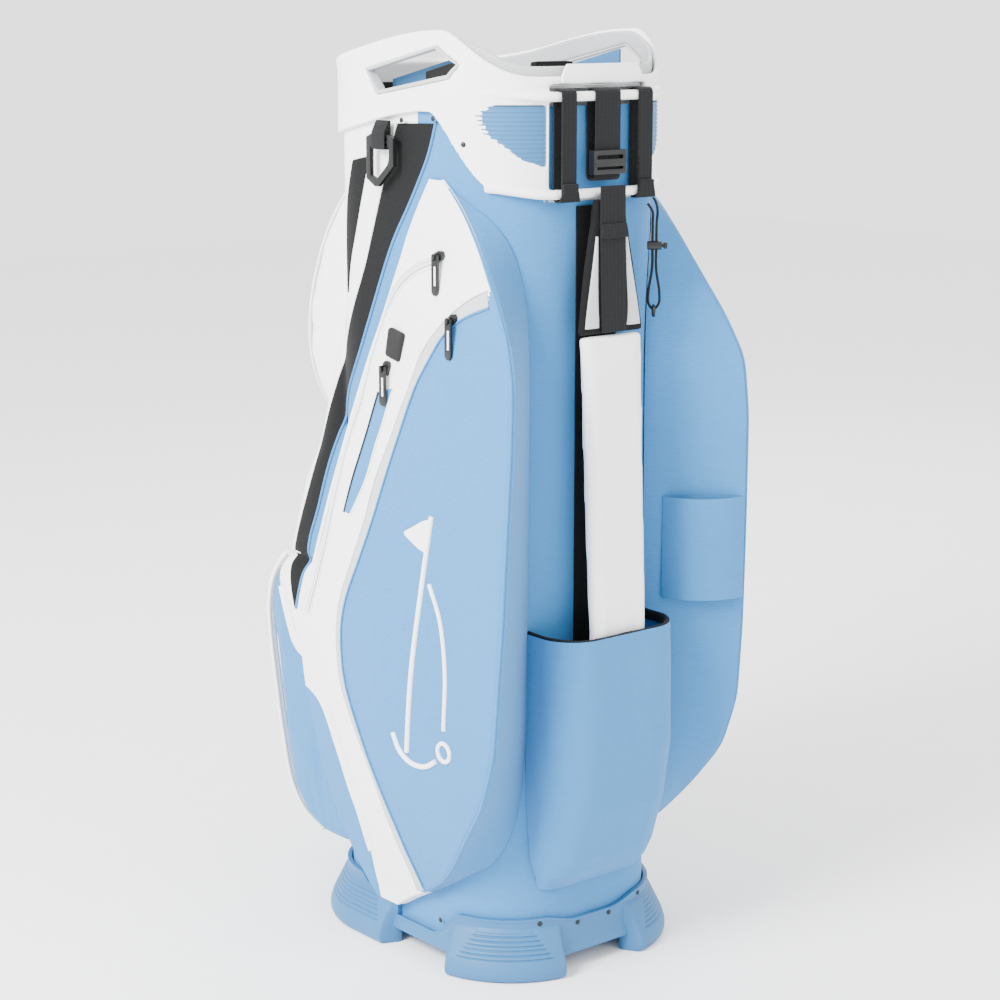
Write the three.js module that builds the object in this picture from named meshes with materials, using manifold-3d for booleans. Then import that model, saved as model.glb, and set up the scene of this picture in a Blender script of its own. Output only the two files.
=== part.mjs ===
// A cart-style golf bag that stands on its own moulded base. Millimetres, +Z up.
// The shoulder strap and the rear handle are on +Y, the ball pocket is on -Y, and the bag is
// the same on both sides of X = 0 apart from the towel ring, the loose cord and one elastic band.
import * as THREE from "three";
import { mergeVertices } from "three/addons/utils/BufferGeometryUtils.js";
import Module from "manifold-3d";

const wasm = await Module();
wasm.setup();

// ---- Driving dimensions -------------------------------------------------------------------

const GAP = 0.4; // clearance between two pieces that touch
const CUT = 400; // reach of a tool body that only cuts

// The tube's section is an oval: a rectangle with large round corners.
const TUBE_HALF_X = 116;
const TUBE_HALF_Y = 146;
const TUBE_CORNER = 82;
const TUBE_WALL = 3;
const TUBE_TOP = 836;

// The pockets are drawn for this tube, and move out with its sides when it is made larger.
const DRAWN_HALF_X = 116;
const DRAWN_HALF_Y = 146;
const WIDER = TUBE_HALF_X - DRAWN_HALF_X;
const DEEPER = TUBE_HALF_Y - DRAWN_HALF_Y;

// Moulded base: a skirt with a wavy top edge, a floor, and four corner feet.
const BASE_WALL = 5;
const BASE_FLOOR_LOW = 20;
const BASE_FLOOR_TOP = 24;
const BASE_RIM_LOW = 17;
const BASE_TOP = 58;
const BASE_SIDE_DIP = 28;
const BASE_END_DIP = 8;
const FOOT_FLARE = 19; // how far a foot stands out from the skirt
const FOOT_TOP = 50;
const REAR_FOOT_Y = 76;
const FRONT_FOOT_Y = -8;
const FOOT_END_X = 40;

// Collar: the white moulded top, its grey liner and the side grips.
const COLLAR_WALL = 5;
const LINER_WALL = 4;
const COLLAR_FRONT_TOP = 872;
const COLLAR_PEAK = 904;
const COLLAR_REAR_TOP = 863;
const COLLAR_PEAK_Y = 66;
const COLLAR_FRONT_LOW = 802;
const COLLAR_ARCH = 830;
const COLLAR_REAR_LOW = 757;
const GRIP_SLOPE = Math.tan(THREE.MathUtils.degToRad(12.5)); // the side grips rise to the rear
const BEZEL = 4; // width of the grip opening's frame

// Rear handle: two rails across an opening in the collar.
const HANDLE_HALF = 58;
const RAIL_FRONT_Y = 150.6;
const RAIL_BACK_Y = 160;
const RAIL_HEIGHT = 10;
const RAIL_UPPER_Z = 845;
const RAIL_LOWER_Z = 757;
const RECESS_DEPTH = 24; // finger room behind the rails
const RECESS_WALL = 2.5;

// Fourteen wells: four cross walls, two long walls and one short wall at the front.
const ROW_PITCH = 55;
const WALL_SHEET = 2;
const WALL_PAD = 8;
const PAD_HEIGHT = 30;
const WELL_TOP = 852;
const WELL_SHOULDER = 824; // outboard of the pads the walls stop below the grip recesses
const PAD_HALF_X = 85;
const LONG_WALL_X = 37;
const LAP_Z = 440; // where cross walls and long walls are half-lapped
const ARCH_RISE = 22;

// Strap, its pouch and the rear hardware.
const STRAP_WIDTH = 31;
const LOOP_X = 47;
const LOOP_WIDTH = 18;
const WEB = 1.7;
const POUCH_RIM = 346;
const POUCH_WALL = 3;
const BINDING = 9;
const SPINE_HALF = 25;

// Zip pulls.
const SLIDER = { length: 13, width: 9, height: 5 };
const TAB = { length: 36, width: 9, thick: 2.2, pin: 0.95, pinHole: 1.3, pinX: 6.8, bridge: 2.6 };

const ZIP_STAND = 2.4; // how far a slider stands off the cloth, on its tape

const CORD_RADIUS = 1.25;

// ---- Materials ----------------------------------------------------------------------------

function material(color, roughness, metalness = 0) {
  return new THREE.MeshStandardMaterial({ color, roughness, metalness });
}

const BLUE_CLOTH = material(0x8fb4d0, 0.85);
const BLUE_PLASTIC = material(0x86abc9, 0.55);
const WHITE_CLOTH = material(0xf1f1f1, 0.7);
const WHITE_PLASTIC = material(0xf4f4f4, 0.45);
const GREY_PLASTIC = material(0xb4b6b8, 0.5);
const BLACK_PLASTIC = material(0x26282b, 0.5);
const BLACK_WEBBING = material(0x2a2b2d, 0.9);
const BLACK_CLOTH = material(0x2e2f31, 0.9);
const STEEL = material(0x8d9093, 0.35, 0.9);

// ---- Solids -------------------------------------------------------------------------------

function toSolid(geometry) {
  const bare = geometry.clone();
  bare.deleteAttribute("normal");
  bare.deleteAttribute("uv");
  const merged = mergeVertices(bare, 1e-4);
  const triVerts = new Uint32Array(merged.index.array);
  const vertProperties = new Float32Array(merged.attributes.position.array);
  return new wasm.Manifold(new wasm.Mesh({ numProp: 3, vertProperties, triVerts }));
}

function toGeometry(solid) {
  const mesh = solid.getMesh();
  const geometry = new THREE.BufferGeometry();
  geometry.setAttribute("position", new THREE.BufferAttribute(new Float32Array(mesh.vertProperties), 3));
  geometry.setIndex(new THREE.BufferAttribute(new Uint32Array(mesh.triVerts), 1));
  return geometry;
}

function cut(body, ...tools) {
  return toGeometry(tools.reduce((solid, tool) => solid.subtract(toSolid(tool)), toSolid(body)));
}

function join(...pieces) {
  return toGeometry(pieces.map(toSolid).reduce((solid, piece) => solid.add(piece)));
}

function common(body, tool) {
  return toGeometry(toSolid(body).intersect(toSolid(tool)));
}

// A closed body through loops of points that all have the same count. With ring set the last
// loop joins the first, as in a wall that goes round; otherwise both ends are capped.
function loft(loops, ring = false) {
  const count = loops[0].length;
  const positions = loops.flat().flatMap((point) => [point.x, point.y, point.z]);
  const index = [];
  const bands = ring ? loops.length : loops.length - 1;
  for (let band = 0; band < bands; band += 1) {
    const low = band * count;
    const high = ((band + 1) % loops.length) * count;
    for (let i = 0; i < count; i += 1) {
      const next = (i + 1) % count;
      index.push(low + i, low + next, high + next, low + i, high + next, high + i);
    }
  }
  if (!ring) {
    for (const [loop, flip] of [[0, true], [loops.length - 1, false]]) {
      const centre = positions.length / 3;
      const middle = loops[loop].reduce((sum, p) => sum.add(p), new THREE.Vector3()).divideScalar(count);
      positions.push(middle.x, middle.y, middle.z);
      for (let i = 0; i < count; i += 1) {
        const a = loop * count + i;
        const b = loop * count + ((i + 1) % count);
        index.push(centre, flip ? b : a, flip ? a : b);
      }
    }
  }
  const geometry = new THREE.BufferGeometry();
  geometry.setAttribute("position", new THREE.Float32BufferAttribute(positions, 3));
  geometry.setIndex(index);
  return geometry;
}

function box(lowX, highX, lowY, highY, lowZ, highZ) {
  const geometry = new THREE.BoxGeometry(highX - lowX, highY - lowY, highZ - lowZ);
  geometry.translate((lowX + highX) / 2, (lowY + highY) / 2, (lowZ + highZ) / 2);
  return geometry;
}

// An outline in the YZ plane, made solid from lowX to highX.
function slabX(shape, lowX, highX) {
  const geometry = new THREE.ExtrudeGeometry(shape, { depth: highX - lowX, bevelEnabled: false, curveSegments: 6 });
  geometry.rotateX(Math.PI / 2);
  geometry.rotateZ(Math.PI / 2);
  geometry.translate(lowX, 0, 0);
  return geometry;
}

// An outline in the XZ plane, made solid from lowY to highY.
function slabY(shape, lowY, highY) {
  const geometry = new THREE.ExtrudeGeometry(shape, { depth: highY - lowY, bevelEnabled: false, curveSegments: 6 });
  geometry.rotateX(Math.PI / 2);
  geometry.translate(0, highY, 0);
  return geometry;
}

// An outline in the XY plane, made solid from lowZ to highZ.
function slabZ(shape, lowZ, highZ) {
  const geometry = new THREE.ExtrudeGeometry(shape, { depth: highZ - lowZ, bevelEnabled: false, curveSegments: 6 });
  geometry.translate(0, 0, lowZ);
  return geometry;
}

function outline(points, hole = null) {
  const shape = new THREE.Shape(points.map(([a, b]) => new THREE.Vector2(a, b)));
  if (hole) {
    shape.holes.push(new THREE.Path(hole.map(([a, b]) => new THREE.Vector2(a, b))));
  }
  return shape;
}

function mirrored(geometry) {
  const copy = geometry.index ? geometry.clone() : mergeVertices(geometry);
  copy.scale(-1, 1, 1);
  const index = copy.index.array;
  for (let i = 0; i < index.length; i += 3) {
    [index[i], index[i + 1]] = [index[i + 1], index[i]];
  }
  return copy;
}

// ---- The oval section ---------------------------------------------------------------------

const SIDE_STEPS = 5;
const CORNER_STEPS = 8;
const END_STEPS = 3;

// The oval grown outwards by grow, at a height that may depend on the place.
function oval(grow, height) {
  const halfX = TUBE_HALF_X + grow;
  const halfY = TUBE_HALF_Y + grow;
  const corner = TUBE_CORNER + grow;
  const quarter = [];
  for (let i = 0; i < SIDE_STEPS; i += 1) {
    quarter.push([halfX, ((halfY - corner) * i) / SIDE_STEPS]);
  }
  for (let i = 0; i < CORNER_STEPS; i += 1) {
    const angle = ((Math.PI / 2) * i) / CORNER_STEPS;
    quarter.push([halfX - corner + corner * Math.cos(angle), halfY - corner + corner * Math.sin(angle)]);
  }
  for (let i = 0; i < END_STEPS; i += 1) {
    quarter.push([(halfX - corner) * (1 - i / END_STEPS), halfY]);
  }
  const first = quarter;
  const second = [[0, halfY], ...quarter.slice(1).reverse().map(([x, y]) => [-x, y])];
  const upper = [...first, ...second];
  const points = [...upper, ...upper.map(([x, y]) => [-x, -y])];
  return points.map(([x, y]) => new THREE.Vector3(x, y, typeof height === "function" ? height(x, y) : height));
}

function ovalCylinder(grow, low, high) {
  return loft([oval(grow, low), oval(grow, high)]);
}

// A wall that goes round, between two grown ovals and two heights.
function ovalWall(inner, outer, low, high) {
  return loft([oval(outer, low), oval(outer, high), oval(inner, high), oval(inner, low)], true);
}

const smooth = THREE.MathUtils.smoothstep;
const lerp = THREE.MathUtils.lerp;

function collarTop(x, y) {
  if (y < COLLAR_PEAK_Y) {
    return lerp(COLLAR_FRONT_TOP, COLLAR_PEAK, smooth(y, -TUBE_HALF_Y, COLLAR_PEAK_Y) ** 0.8);
  }
  return lerp(COLLAR_PEAK, COLLAR_REAR_TOP, smooth(y, COLLAR_PEAK_Y, TUBE_HALF_Y - 6));
}

function collarLow(x, y) {
  if (y < COLLAR_PEAK_Y - 18) {
    return lerp(COLLAR_FRONT_LOW, COLLAR_ARCH, smooth(y, -TUBE_HALF_Y, COLLAR_PEAK_Y - 18));
  }
  return lerp(COLLAR_ARCH, COLLAR_REAR_LOW, smooth(y, COLLAR_PEAK_Y - 18, TUBE_HALF_Y - 20));
}

function baseTop(x, y) {
  const side = 1 - smooth(Math.abs(y - 8), 42, 80);
  const end = 1 - smooth(Math.abs(x), 20, 60);
  const onEnd = Math.abs(y) > TUBE_HALF_Y - 20 ? end : 0;
  return BASE_TOP - BASE_SIDE_DIP * side - BASE_END_DIP * onEnd;
}

// ---- Base ---------------------------------------------------------------------------------

const BASE_INNER = GAP;
const BASE_OUTER = BASE_INNER + BASE_WALL;

function baseShell() {
  const skirt = loft(
    [
      oval(BASE_OUTER + 5, BASE_RIM_LOW),
      oval(BASE_OUTER, baseTop),
      oval(BASE_INNER, baseTop),
      oval(BASE_INNER, BASE_RIM_LOW),
    ],
    true,
  );
  const floor = ovalCylinder(BASE_INNER + 1, BASE_FLOOR_LOW, BASE_FLOOR_TOP);
  const flare = loft(
    [
      oval(BASE_INNER + FOOT_FLARE, 0),
      oval(BASE_OUTER + FOOT_FLARE, 10),
      oval(BASE_OUTER + 3, FOOT_TOP - 4),
      oval(BASE_OUTER - 1, FOOT_TOP),
      oval(BASE_INNER, FOOT_TOP),
      oval(BASE_INNER, 0),
    ],
    true,
  );
  const feet = [];
  for (const side of [-1, 1]) {
    const lowX = side > 0 ? FOOT_END_X : -CUT;
    const highX = side > 0 ? CUT : -FOOT_END_X;
    feet.push(common(flare, box(lowX, highX, REAR_FOOT_Y, CUT, -1, CUT)));
    feet.push(common(flare, box(lowX, highX, -CUT, FRONT_FOOT_Y, -1, CUT)));
  }
  return join(skirt, floor, ...feet);
}

// The base with clearance round it, for cutting what hangs down over it.
function baseKeepOut() {
  return loft([
    oval(BASE_OUTER + FOOT_FLARE + GAP, -1),
    oval(BASE_OUTER + FOOT_FLARE + GAP, 10 + GAP),
    oval(BASE_OUTER + 3 + GAP, FOOT_TOP - 4 + GAP),
    oval(BASE_OUTER + GAP, (x, y) => Math.max(baseTop(x, y), FOOT_TOP) + GAP),
  ]);
}

// ---- Tube ---------------------------------------------------------------------------------

const PANEL_FRONT_Y = -30; // where the front panel meets the side panels
const PANEL_REAR_Y = 100;

function tubePanels() {
  const wall = cut(ovalWall(-TUBE_WALL, 0, BASE_FLOOR_TOP + GAP, TUBE_TOP), handleRoom());
  const half = GAP / 2;
  return {
    tube_panel_front: common(wall, box(-CUT, CUT, -CUT, PANEL_FRONT_Y - half, -CUT, 3 * CUT)),
    tube_panel_right: common(wall, box(0, CUT, PANEL_FRONT_Y + half, PANEL_REAR_Y - half, -CUT, 3 * CUT)),
    tube_panel_left: common(wall, box(-CUT, 0, PANEL_FRONT_Y + half, PANEL_REAR_Y - half, -CUT, 3 * CUT)),
    tube_panel_rear: common(wall, box(-CUT, CUT, PANEL_REAR_Y + half, CUT, -CUT, 3 * CUT)),
  };
}

// ---- Collar -------------------------------------------------------------------------------

const COLLAR_INNER = GAP;
const COLLAR_OUTER = COLLAR_INNER + COLLAR_WALL;

// The side grip's opening, as a sloping window grown by grow.
function gripWindow(grow) {
  const rise = (y) => 857 + GRIP_SLOPE * y;
  return outline([
    [-26 - grow, rise(-26) - 4 - grow],
    [76 + grow * 0.4, rise(76) - 10 - grow],
    [87 + grow, rise(87) - 3],
    [60 + grow * 0.6, rise(60) + 17 + grow * 0.6],
    [-43 - grow, rise(-43) + 18 + grow * 0.5],
  ]);
}

// The ribbed inlay on each rear corner, as seen from the rear.
function inlayOutline(side, grow) {
  return outline([
    [side * (107 + grow), 829],
    [side * (100 + grow), 837 + grow],
    [side * (HANDLE_HALF + 3 - grow), 837 + grow],
    [side * (HANDLE_HALF + 3 - grow), 782 - grow],
    [side * (80 + grow), 789 - grow],
    [side * (103 + grow * 0.8), 812 - grow],
  ]);
}

function rail(height) {
  const outer = new THREE.Shape();
  outer.moveTo(-96, 100);
  outer.absarc(-36, 100, RAIL_BACK_Y - 100, Math.PI, Math.PI / 2, true);
  outer.absarc(36, 100, RAIL_BACK_Y - 100, Math.PI / 2, 0, true);
  outer.lineTo(91, 100);
  outer.absarc(54, RAIL_FRONT_Y - 37, 37, 0, Math.PI / 2, false);
  outer.absarc(-54, RAIL_FRONT_Y - 37, 37, Math.PI / 2, Math.PI, false);
  outer.lineTo(-91, 100);
  return slabZ(outer, height - RAIL_HEIGHT / 2, height + RAIL_HEIGHT / 2);
}

function collarShell() {
  const wall = ovalWall(COLLAR_INNER, COLLAR_OUTER, collarLow, collarTop);
  const handle = box(
    -HANDLE_HALF,
    HANDLE_HALF,
    TUBE_HALF_Y - 30,
    CUT,
    RAIL_LOWER_Z - RAIL_HEIGHT / 2 - 6,
    RAIL_UPPER_Z + RAIL_HEIGHT / 2 + 6,
  );
  const rails = [RAIL_LOWER_Z, RAIL_UPPER_Z].map((height) => cut(rail(height), ovalCylinder(COLLAR_INNER, 0, 3 * CUT)));
  const recess = ovalWall(COLLAR_OUTER - 2 - GAP, COLLAR_OUTER + 20, 0, 3 * CUT);
  const recesses = [-1, 1].map((side) => common(recess, slabY(inlayOutline(side, GAP), TUBE_HALF_Y - 60, CUT)));
  const grips = slabX(gripWindow(BEZEL), -CUT, CUT);
  return cut(join(cut(wall, handle), ...rails), grips, ...recesses);
}

// The hollow behind the rails, grown by its own wall and a clearance.
const ROOM_LOW = RAIL_LOWER_Z - RAIL_HEIGHT / 2;
const ROOM_HIGH = RAIL_UPPER_Z + RAIL_HEIGHT / 2 + 2;
const ROOM_BACK = RAIL_FRONT_Y - RECESS_DEPTH;

function handleRoom() {
  const grow = RECESS_WALL + GAP;
  const half = HANDLE_HALF + grow;
  return box(-half, half, ROOM_BACK - grow, CUT, ROOM_LOW - grow, ROOM_HIGH + grow);
}

function handleRecess() {
  const half = HANDLE_HALF;
  const grow = RECESS_WALL;
  const outer = box(-half - grow, half + grow, ROOM_BACK - grow, TUBE_HALF_Y, ROOM_LOW - grow, ROOM_HIGH + grow);
  const inner = box(-half, half, ROOM_BACK, CUT, ROOM_LOW, ROOM_HIGH);
  return common(cut(outer, inner), ovalCylinder(0, 0, 3 * CUT));
}

function ribbedInlay(side) {
  const skin = ovalWall(COLLAR_OUTER - 2, COLLAR_OUTER + 0.6, 0, 3 * CUT);
  return common(skin, slabY(inlayOutline(side, 0), TUBE_HALF_Y - 60, CUT));
}

// Grey liner: stands on the tube's top edge, shows above the collar only at the rear.
function collarLiner() {
  const top = (x, y) => collarTop(x, y) + lerp(-2.5, 9, smooth(y, COLLAR_PEAK_Y + 12, COLLAR_PEAK_Y + 50));
  const wall = ovalWall(-LINER_WALL, 0, TUBE_TOP + GAP, top);
  return cut(wall, slabX(gripWindow(BEZEL), -CUT, CUT), handleRoom());
}

function gripBezel(side) {
  const frame = cut(
    slabX(gripWindow(BEZEL - GAP), 0, CUT),
    slabX(gripWindow(0), -1, CUT + 1),
  );
  const bezel = common(frame, ovalWall(-LINER_WALL, COLLAR_OUTER + 1, 0, 3 * CUT));
  return side > 0 ? bezel : mirrored(bezel);
}

// The hand recess behind a grip opening: a floor and a back wall that follow the slope.
const RECESS_FRONT_Y = -46;
const RECESS_REAR_Y = 80;
const RECESS_BACK_X = 87;

function gripRecess(side) {
  const low = 839;
  const profile = outline([
    [RECESS_BACK_X, low],
    [TUBE_HALF_X, low],
    [TUBE_HALF_X, low + 3],
    [RECESS_BACK_X + 3, low + 3],
    [RECESS_BACK_X + 3, low + 28],
    [RECESS_BACK_X, low + 28],
  ]);
  const trough = slabY(profile, RECESS_FRONT_Y, RECESS_REAR_Y);
  slope(trough);
  const kept = common(trough, ovalCylinder(-LINER_WALL - GAP, TUBE_TOP - 10, 2 * CUT + 200));
  return side > 0 ? kept : mirrored(kept);
}

// Tips a piece along the grips' slope, which is zero at y = 0.
function slope(geometry) {
  const position = geometry.attributes.position;
  for (let i = 0; i < position.count; i += 1) {
    position.setZ(i, position.getZ(i) + GRIP_SLOPE * position.getY(i));
  }
}

function recessPad(side) {
  const front = RECESS_BACK_X + 3 + GAP;
  const pad = new THREE.BoxGeometry(5, 48, 15, 1, 4, 1);
  pad.translate(front + 2.5, 36, 855);
  slope(pad);
  return side > 0 ? pad : mirrored(pad);
}

function rearCover() {
  const low = COLLAR_OUTER + TUBE_HALF_Y + GAP;
  return slabY(
    outline([[-49, 857], [49, 857], [49, 864], [43, 874], [-43, 874], [-49, 864]]),
    low,
    low + 2.6,
  );
}

// ---- Wells --------------------------------------------------------------------------------

const WELL_LOW = BASE_FLOOR_TOP + GAP;
const WELL_GROW = -TUBE_WALL - GAP;

function innerHalfX(y, grow) {
  const corner = TUBE_CORNER + grow;
  const reach = Math.max(Math.abs(y) - (TUBE_HALF_Y - TUBE_CORNER), 0);
  return TUBE_HALF_X - TUBE_CORNER + Math.sqrt(corner ** 2 - reach ** 2);
}

function crossWall(y, arched) {
  const edge = Math.min(innerHalfX(y - WALL_SHEET / 2, WELL_GROW), innerHalfX(y + WALL_SHEET / 2, WELL_GROW));
  const padHalf = Math.min(PAD_HALF_X, edge - 2);
  const crown = arched ? WELL_TOP + ARCH_RISE : WELL_TOP;
  const top = [[padHalf, WELL_TOP - 4], [padHalf - 4, WELL_TOP], [30, WELL_TOP], [22, crown]];
  const left = [...top].reverse().map(([x, z]) => [-x, z]);
  const sheetSides = [[edge, WELL_LOW], [edge, WELL_SHOULDER], [padHalf - 6, WELL_SHOULDER], [padHalf - 6, WELL_TOP - 8]];
  const sheet = slabY(
    outline([...sheetSides, ...[...sheetSides].reverse().map(([x, z]) => [-x, z])]),
    y - WALL_SHEET / 2,
    y + WALL_SHEET / 2,
  );
  const padLow = WELL_TOP - PAD_HEIGHT;
  const pad = slabY(
    outline([[padHalf, padLow], ...top, ...left, [-padHalf, padLow]]),
    y - WALL_PAD / 2,
    y + WALL_PAD / 2,
  );
  const wall = join(sheet, pad);
  if (Math.abs(y) > ROW_PITCH && y < 0) {
    return wall;
  }
  const slots = [];
  for (const x of [-LONG_WALL_X, LONG_WALL_X]) {
    slots.push(box(x - WALL_SHEET / 2 - GAP, x + WALL_SHEET / 2 + GAP, y - CUT, y + CUT, LAP_Z, 3 * CUT));
    slots.push(box(x - WALL_PAD / 2 - GAP, x + WALL_PAD / 2 + GAP, y - CUT, y + CUT, padLow - GAP, 3 * CUT));
  }
  return cut(wall, ...slots);
}

function longWall(x, rows) {
  const start = rows[0] + WALL_SHEET / 2 + GAP;
  const end = TUBE_HALF_Y - TUBE_WALL - GAP - 1;
  const padStart = rows[0] + WALL_PAD / 2 + GAP;
  const padEnd = end - 4;
  const padLow = WELL_TOP - PAD_HEIGHT;
  const sheet = box(x - WALL_SHEET / 2, x + WALL_SHEET / 2, start, end, WELL_LOW, padLow - GAP);
  const neck = box(x - WALL_SHEET / 2, x + WALL_SHEET / 2, padStart, padEnd, padLow - 2, padLow + 2);
  const pad = box(x - WALL_PAD / 2, x + WALL_PAD / 2, padStart, padEnd, padLow, WELL_TOP);
  const slots = rows.slice(1).map((y) => {
    const reach = WALL_SHEET / 2 + GAP;
    return box(x - 9, x + 9, y - reach, y + reach, 0, LAP_Z + GAP);
  });
  return cut(join(sheet, neck, pad), handleRoom(), ...slots);
}

function frontWall(rearY) {
  const end = rearY - WALL_SHEET / 2 - GAP;
  const start = -(TUBE_HALF_Y - TUBE_WALL - GAP);
  const padLow = WELL_TOP - PAD_HEIGHT;
  const padEnd = rearY - WALL_PAD / 2 - GAP;
  const sheet = box(-WALL_SHEET / 2, WALL_SHEET / 2, start, end, WELL_LOW, padLow - GAP);
  const neck = box(-WALL_SHEET / 2, WALL_SHEET / 2, start + 5, padEnd, padLow - 2, padLow + 2);
  const pad = box(-WALL_PAD / 2, WALL_PAD / 2, start + 5, padEnd, padLow, WELL_TOP);
  return join(sheet, neck, pad);
}

// A flat stay inside the rear of the tube that carries the collar on the base.
function spineStay() {
  const back = TUBE_HALF_Y - TUBE_WALL - GAP;
  return box(-12, 12, back - 4, back, BASE_FLOOR_TOP + GAP, ROOM_LOW - RECESS_WALL - GAP);
}

// ---- Pockets ------------------------------------------------------------------------------

// The side pocket's front and rear corners in plan, from the bottom up.
const DRAWN_LEVELS = [
  { z: 44, front: [126, -34], rear: [126, -2] },
  { z: 62, front: [129, -52], rear: [129, 25] },
  { z: 82, front: [131, -66], rear: [131, 66] },
  { z: 108, front: [134, -82], rear: [138, 98] },
  { z: 148, front: [138, -101], rear: [150, 132] },
  { z: 195, front: [142, -114], rear: [157, 168] },
  { z: 250, front: [146, -127], rear: [158, 187] },
  { z: 325, front: [150, -133], rear: [157, 193] },
  { z: 375, front: [146, -120], rear: [155, 196] },
  { z: 450, front: [140, -97], rear: [153, 199] },
  { z: 540, front: [135, -62], rear: [150, 202] },
  { z: 595, front: [131, -40], rear: [146, 199] },
  { z: 636, front: [127, -22], rear: [137, 180] },
  { z: 675, front: [124, -6], rear: [130, 152] },
  { z: 714, front: [121, 11], rear: [124, 124] },
  { z: 745, front: [119.5, 30], rear: [121, 97] },
  { z: 768, front: [118, 47], rear: [118, 66] },
];
const movedOut = ([x, y]) => [x + WIDER, (y * TUBE_HALF_Y) / DRAWN_HALF_Y];
const POCKET_LEVELS = DRAWN_LEVELS.map(({ z, front, rear }) => ({
  z,
  front: movedOut(front),
  rear: movedOut(rear),
}));
const POCKET_BULGE = 5;
const POCKET_ROOT_X = 62 + WIDER; // where the rear gusset's line runs into the tube
const POCKET_ROOT_Y = 126 + DEEPER;

function pocketCorners(z) {
  const levels = POCKET_LEVELS;
  let upper = levels.findIndex((level) => level.z >= z);
  upper = Math.min(Math.max(upper, 1), levels.length - 1);
  const [a, b] = [levels[upper - 1], levels[upper]];
  const t = THREE.MathUtils.clamp((z - a.z) / (b.z - a.z), 0, 1);
  const mix = (p, q) => [lerp(p[0], q[0], t), lerp(p[1], q[1], t)];
  return { front: mix(a.front, b.front), rear: mix(a.rear, b.rear) };
}

// The pocket face's distance from the bag's middle, at a place on it.
function faceX(y, z) {
  const { front, rear } = pocketCorners(z);
  const s = THREE.MathUtils.clamp((y - front[1]) / (rear[1] - front[1]), 0, 1);
  return lerp(front[0], rear[0], s) + POCKET_BULGE * 4 * s * (1 - s) * pocketFullness(z);
}

function pocketFullness(z) {
  return smooth(z, 44, 120) * (1 - smooth(z, 600, 760));
}

function pocketBody(grow) {
  const steps = 8;
  const loops = POCKET_LEVELS.map(({ z, front, rear }) => {
    const points = [new THREE.Vector3(POCKET_ROOT_X - 2, front[1] + 14 - grow, z)];
    points.push(new THREE.Vector3(front[0] - 5, front[1] - grow, z));
    for (let i = 0; i <= steps; i += 1) {
      const s = i === 0 ? 0.012 : i === steps ? 0.988 : i / steps;
      const y = lerp(front[1], rear[1], s);
      points.push(new THREE.Vector3(faceX(y, z) + grow, y, z));
    }
    points.push(new THREE.Vector3(rear[0] - 3, rear[1] + grow, z));
    points.push(new THREE.Vector3(POCKET_ROOT_X, Math.min(rear[1] + 24, POCKET_ROOT_Y) + grow, z));
    return points;
  });
  return loft(loops);
}

// The line on the side pocket where the white yoke gives way to the blue face.
const YOKE_LINE = [
  [212, 712],
  [166, 670],
  [136, 648],
  [100, 616],
  [57, 566],
  [16, 513],
  [-20, 448],
  [-44, 395],
  [-51, 351],
  [-46, 292],
  [-28, 234],
  [-2, 178],
  [28, 122],
  [56, 76],
  [70, 40],
];

function yokePrism(shift) {
  const points = YOKE_LINE.map(([y, z]) => [y + shift, z]);
  return slabX(outline([...points, [-CUT, 40], [-CUT, 800], [212 + shift, 800]]), 0, CUT);
}

function sidePocketPieces() {
  const body = cut(pocketBody(0), ovalCylinder(GAP, -CUT, 3 * CUT), baseKeepOut());
  return {
    pocket: cut(body, yokePrism(GAP)),
    yoke: common(body, yokePrism(0)),
  };
}

// A pocket on the front or the rear of the tube: rounded plan outlines at several heights.
function bulgePocket(levels, rootY, direction, inset = 0) {
  const steps = 5;
  const loops = levels.map(({ z, half, reach, corner }) => {
    const halfX = half - inset;
    const tip = reach + DEEPER - inset;
    const radius = corner - inset;
    const points = [new THREE.Vector3(halfX, rootY, z)];
    for (const side of [1, -1]) {
      for (let i = 0; i <= steps; i += 1) {
        const turn = ((Math.PI / 2) * i) / steps;
        const angle = side > 0 ? turn : Math.PI / 2 - turn;
        const x = side * (halfX - radius + radius * Math.cos(angle));
        points.push(new THREE.Vector3(x, tip - radius + radius * Math.sin(angle), z));
      }
    }
    points.push(new THREE.Vector3(-halfX, rootY, z));
    return points;
  });
  const geometry = loft(loops);
  if (direction < 0) {
    geometry.rotateZ(Math.PI);
  }
  return geometry;
}

const COOLER_LEVELS = [
  { z: 494, half: 66, reach: 160, corner: 12 },
  { z: 512, half: 72, reach: 190, corner: 26 },
  { z: 540, half: 76, reach: 215, corner: 30 },
  { z: 575, half: 78, reach: 229, corner: 32 },
  { z: 625, half: 78, reach: 227, corner: 32 },
  { z: 690, half: 76, reach: 204, corner: 30 },
  { z: 730, half: 70, reach: 178, corner: 24 },
  { z: 752, half: 60, reach: 158, corner: 10 },
];

const BALL_LEVELS = [
  { z: 68, half: 99, reach: 186, corner: 32 },
  { z: 84, half: 104, reach: 215, corner: 34 },
  { z: 110, half: 107, reach: 233, corner: 34 },
  { z: 165, half: 110, reach: 245, corner: 34 },
  { z: 215, half: 112, reach: 252, corner: 34 },
  { z: 275, half: 114, reach: 259, corner: 34 },
  { z: 305, half: 114, reach: 260, corner: 34 },
  { z: 330, half: 112, reach: 256, corner: 34 },
  { z: 350, half: 110, reach: 244, corner: 33 },
  { z: 364, half: 108, reach: 232, corner: 33 },
];

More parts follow.
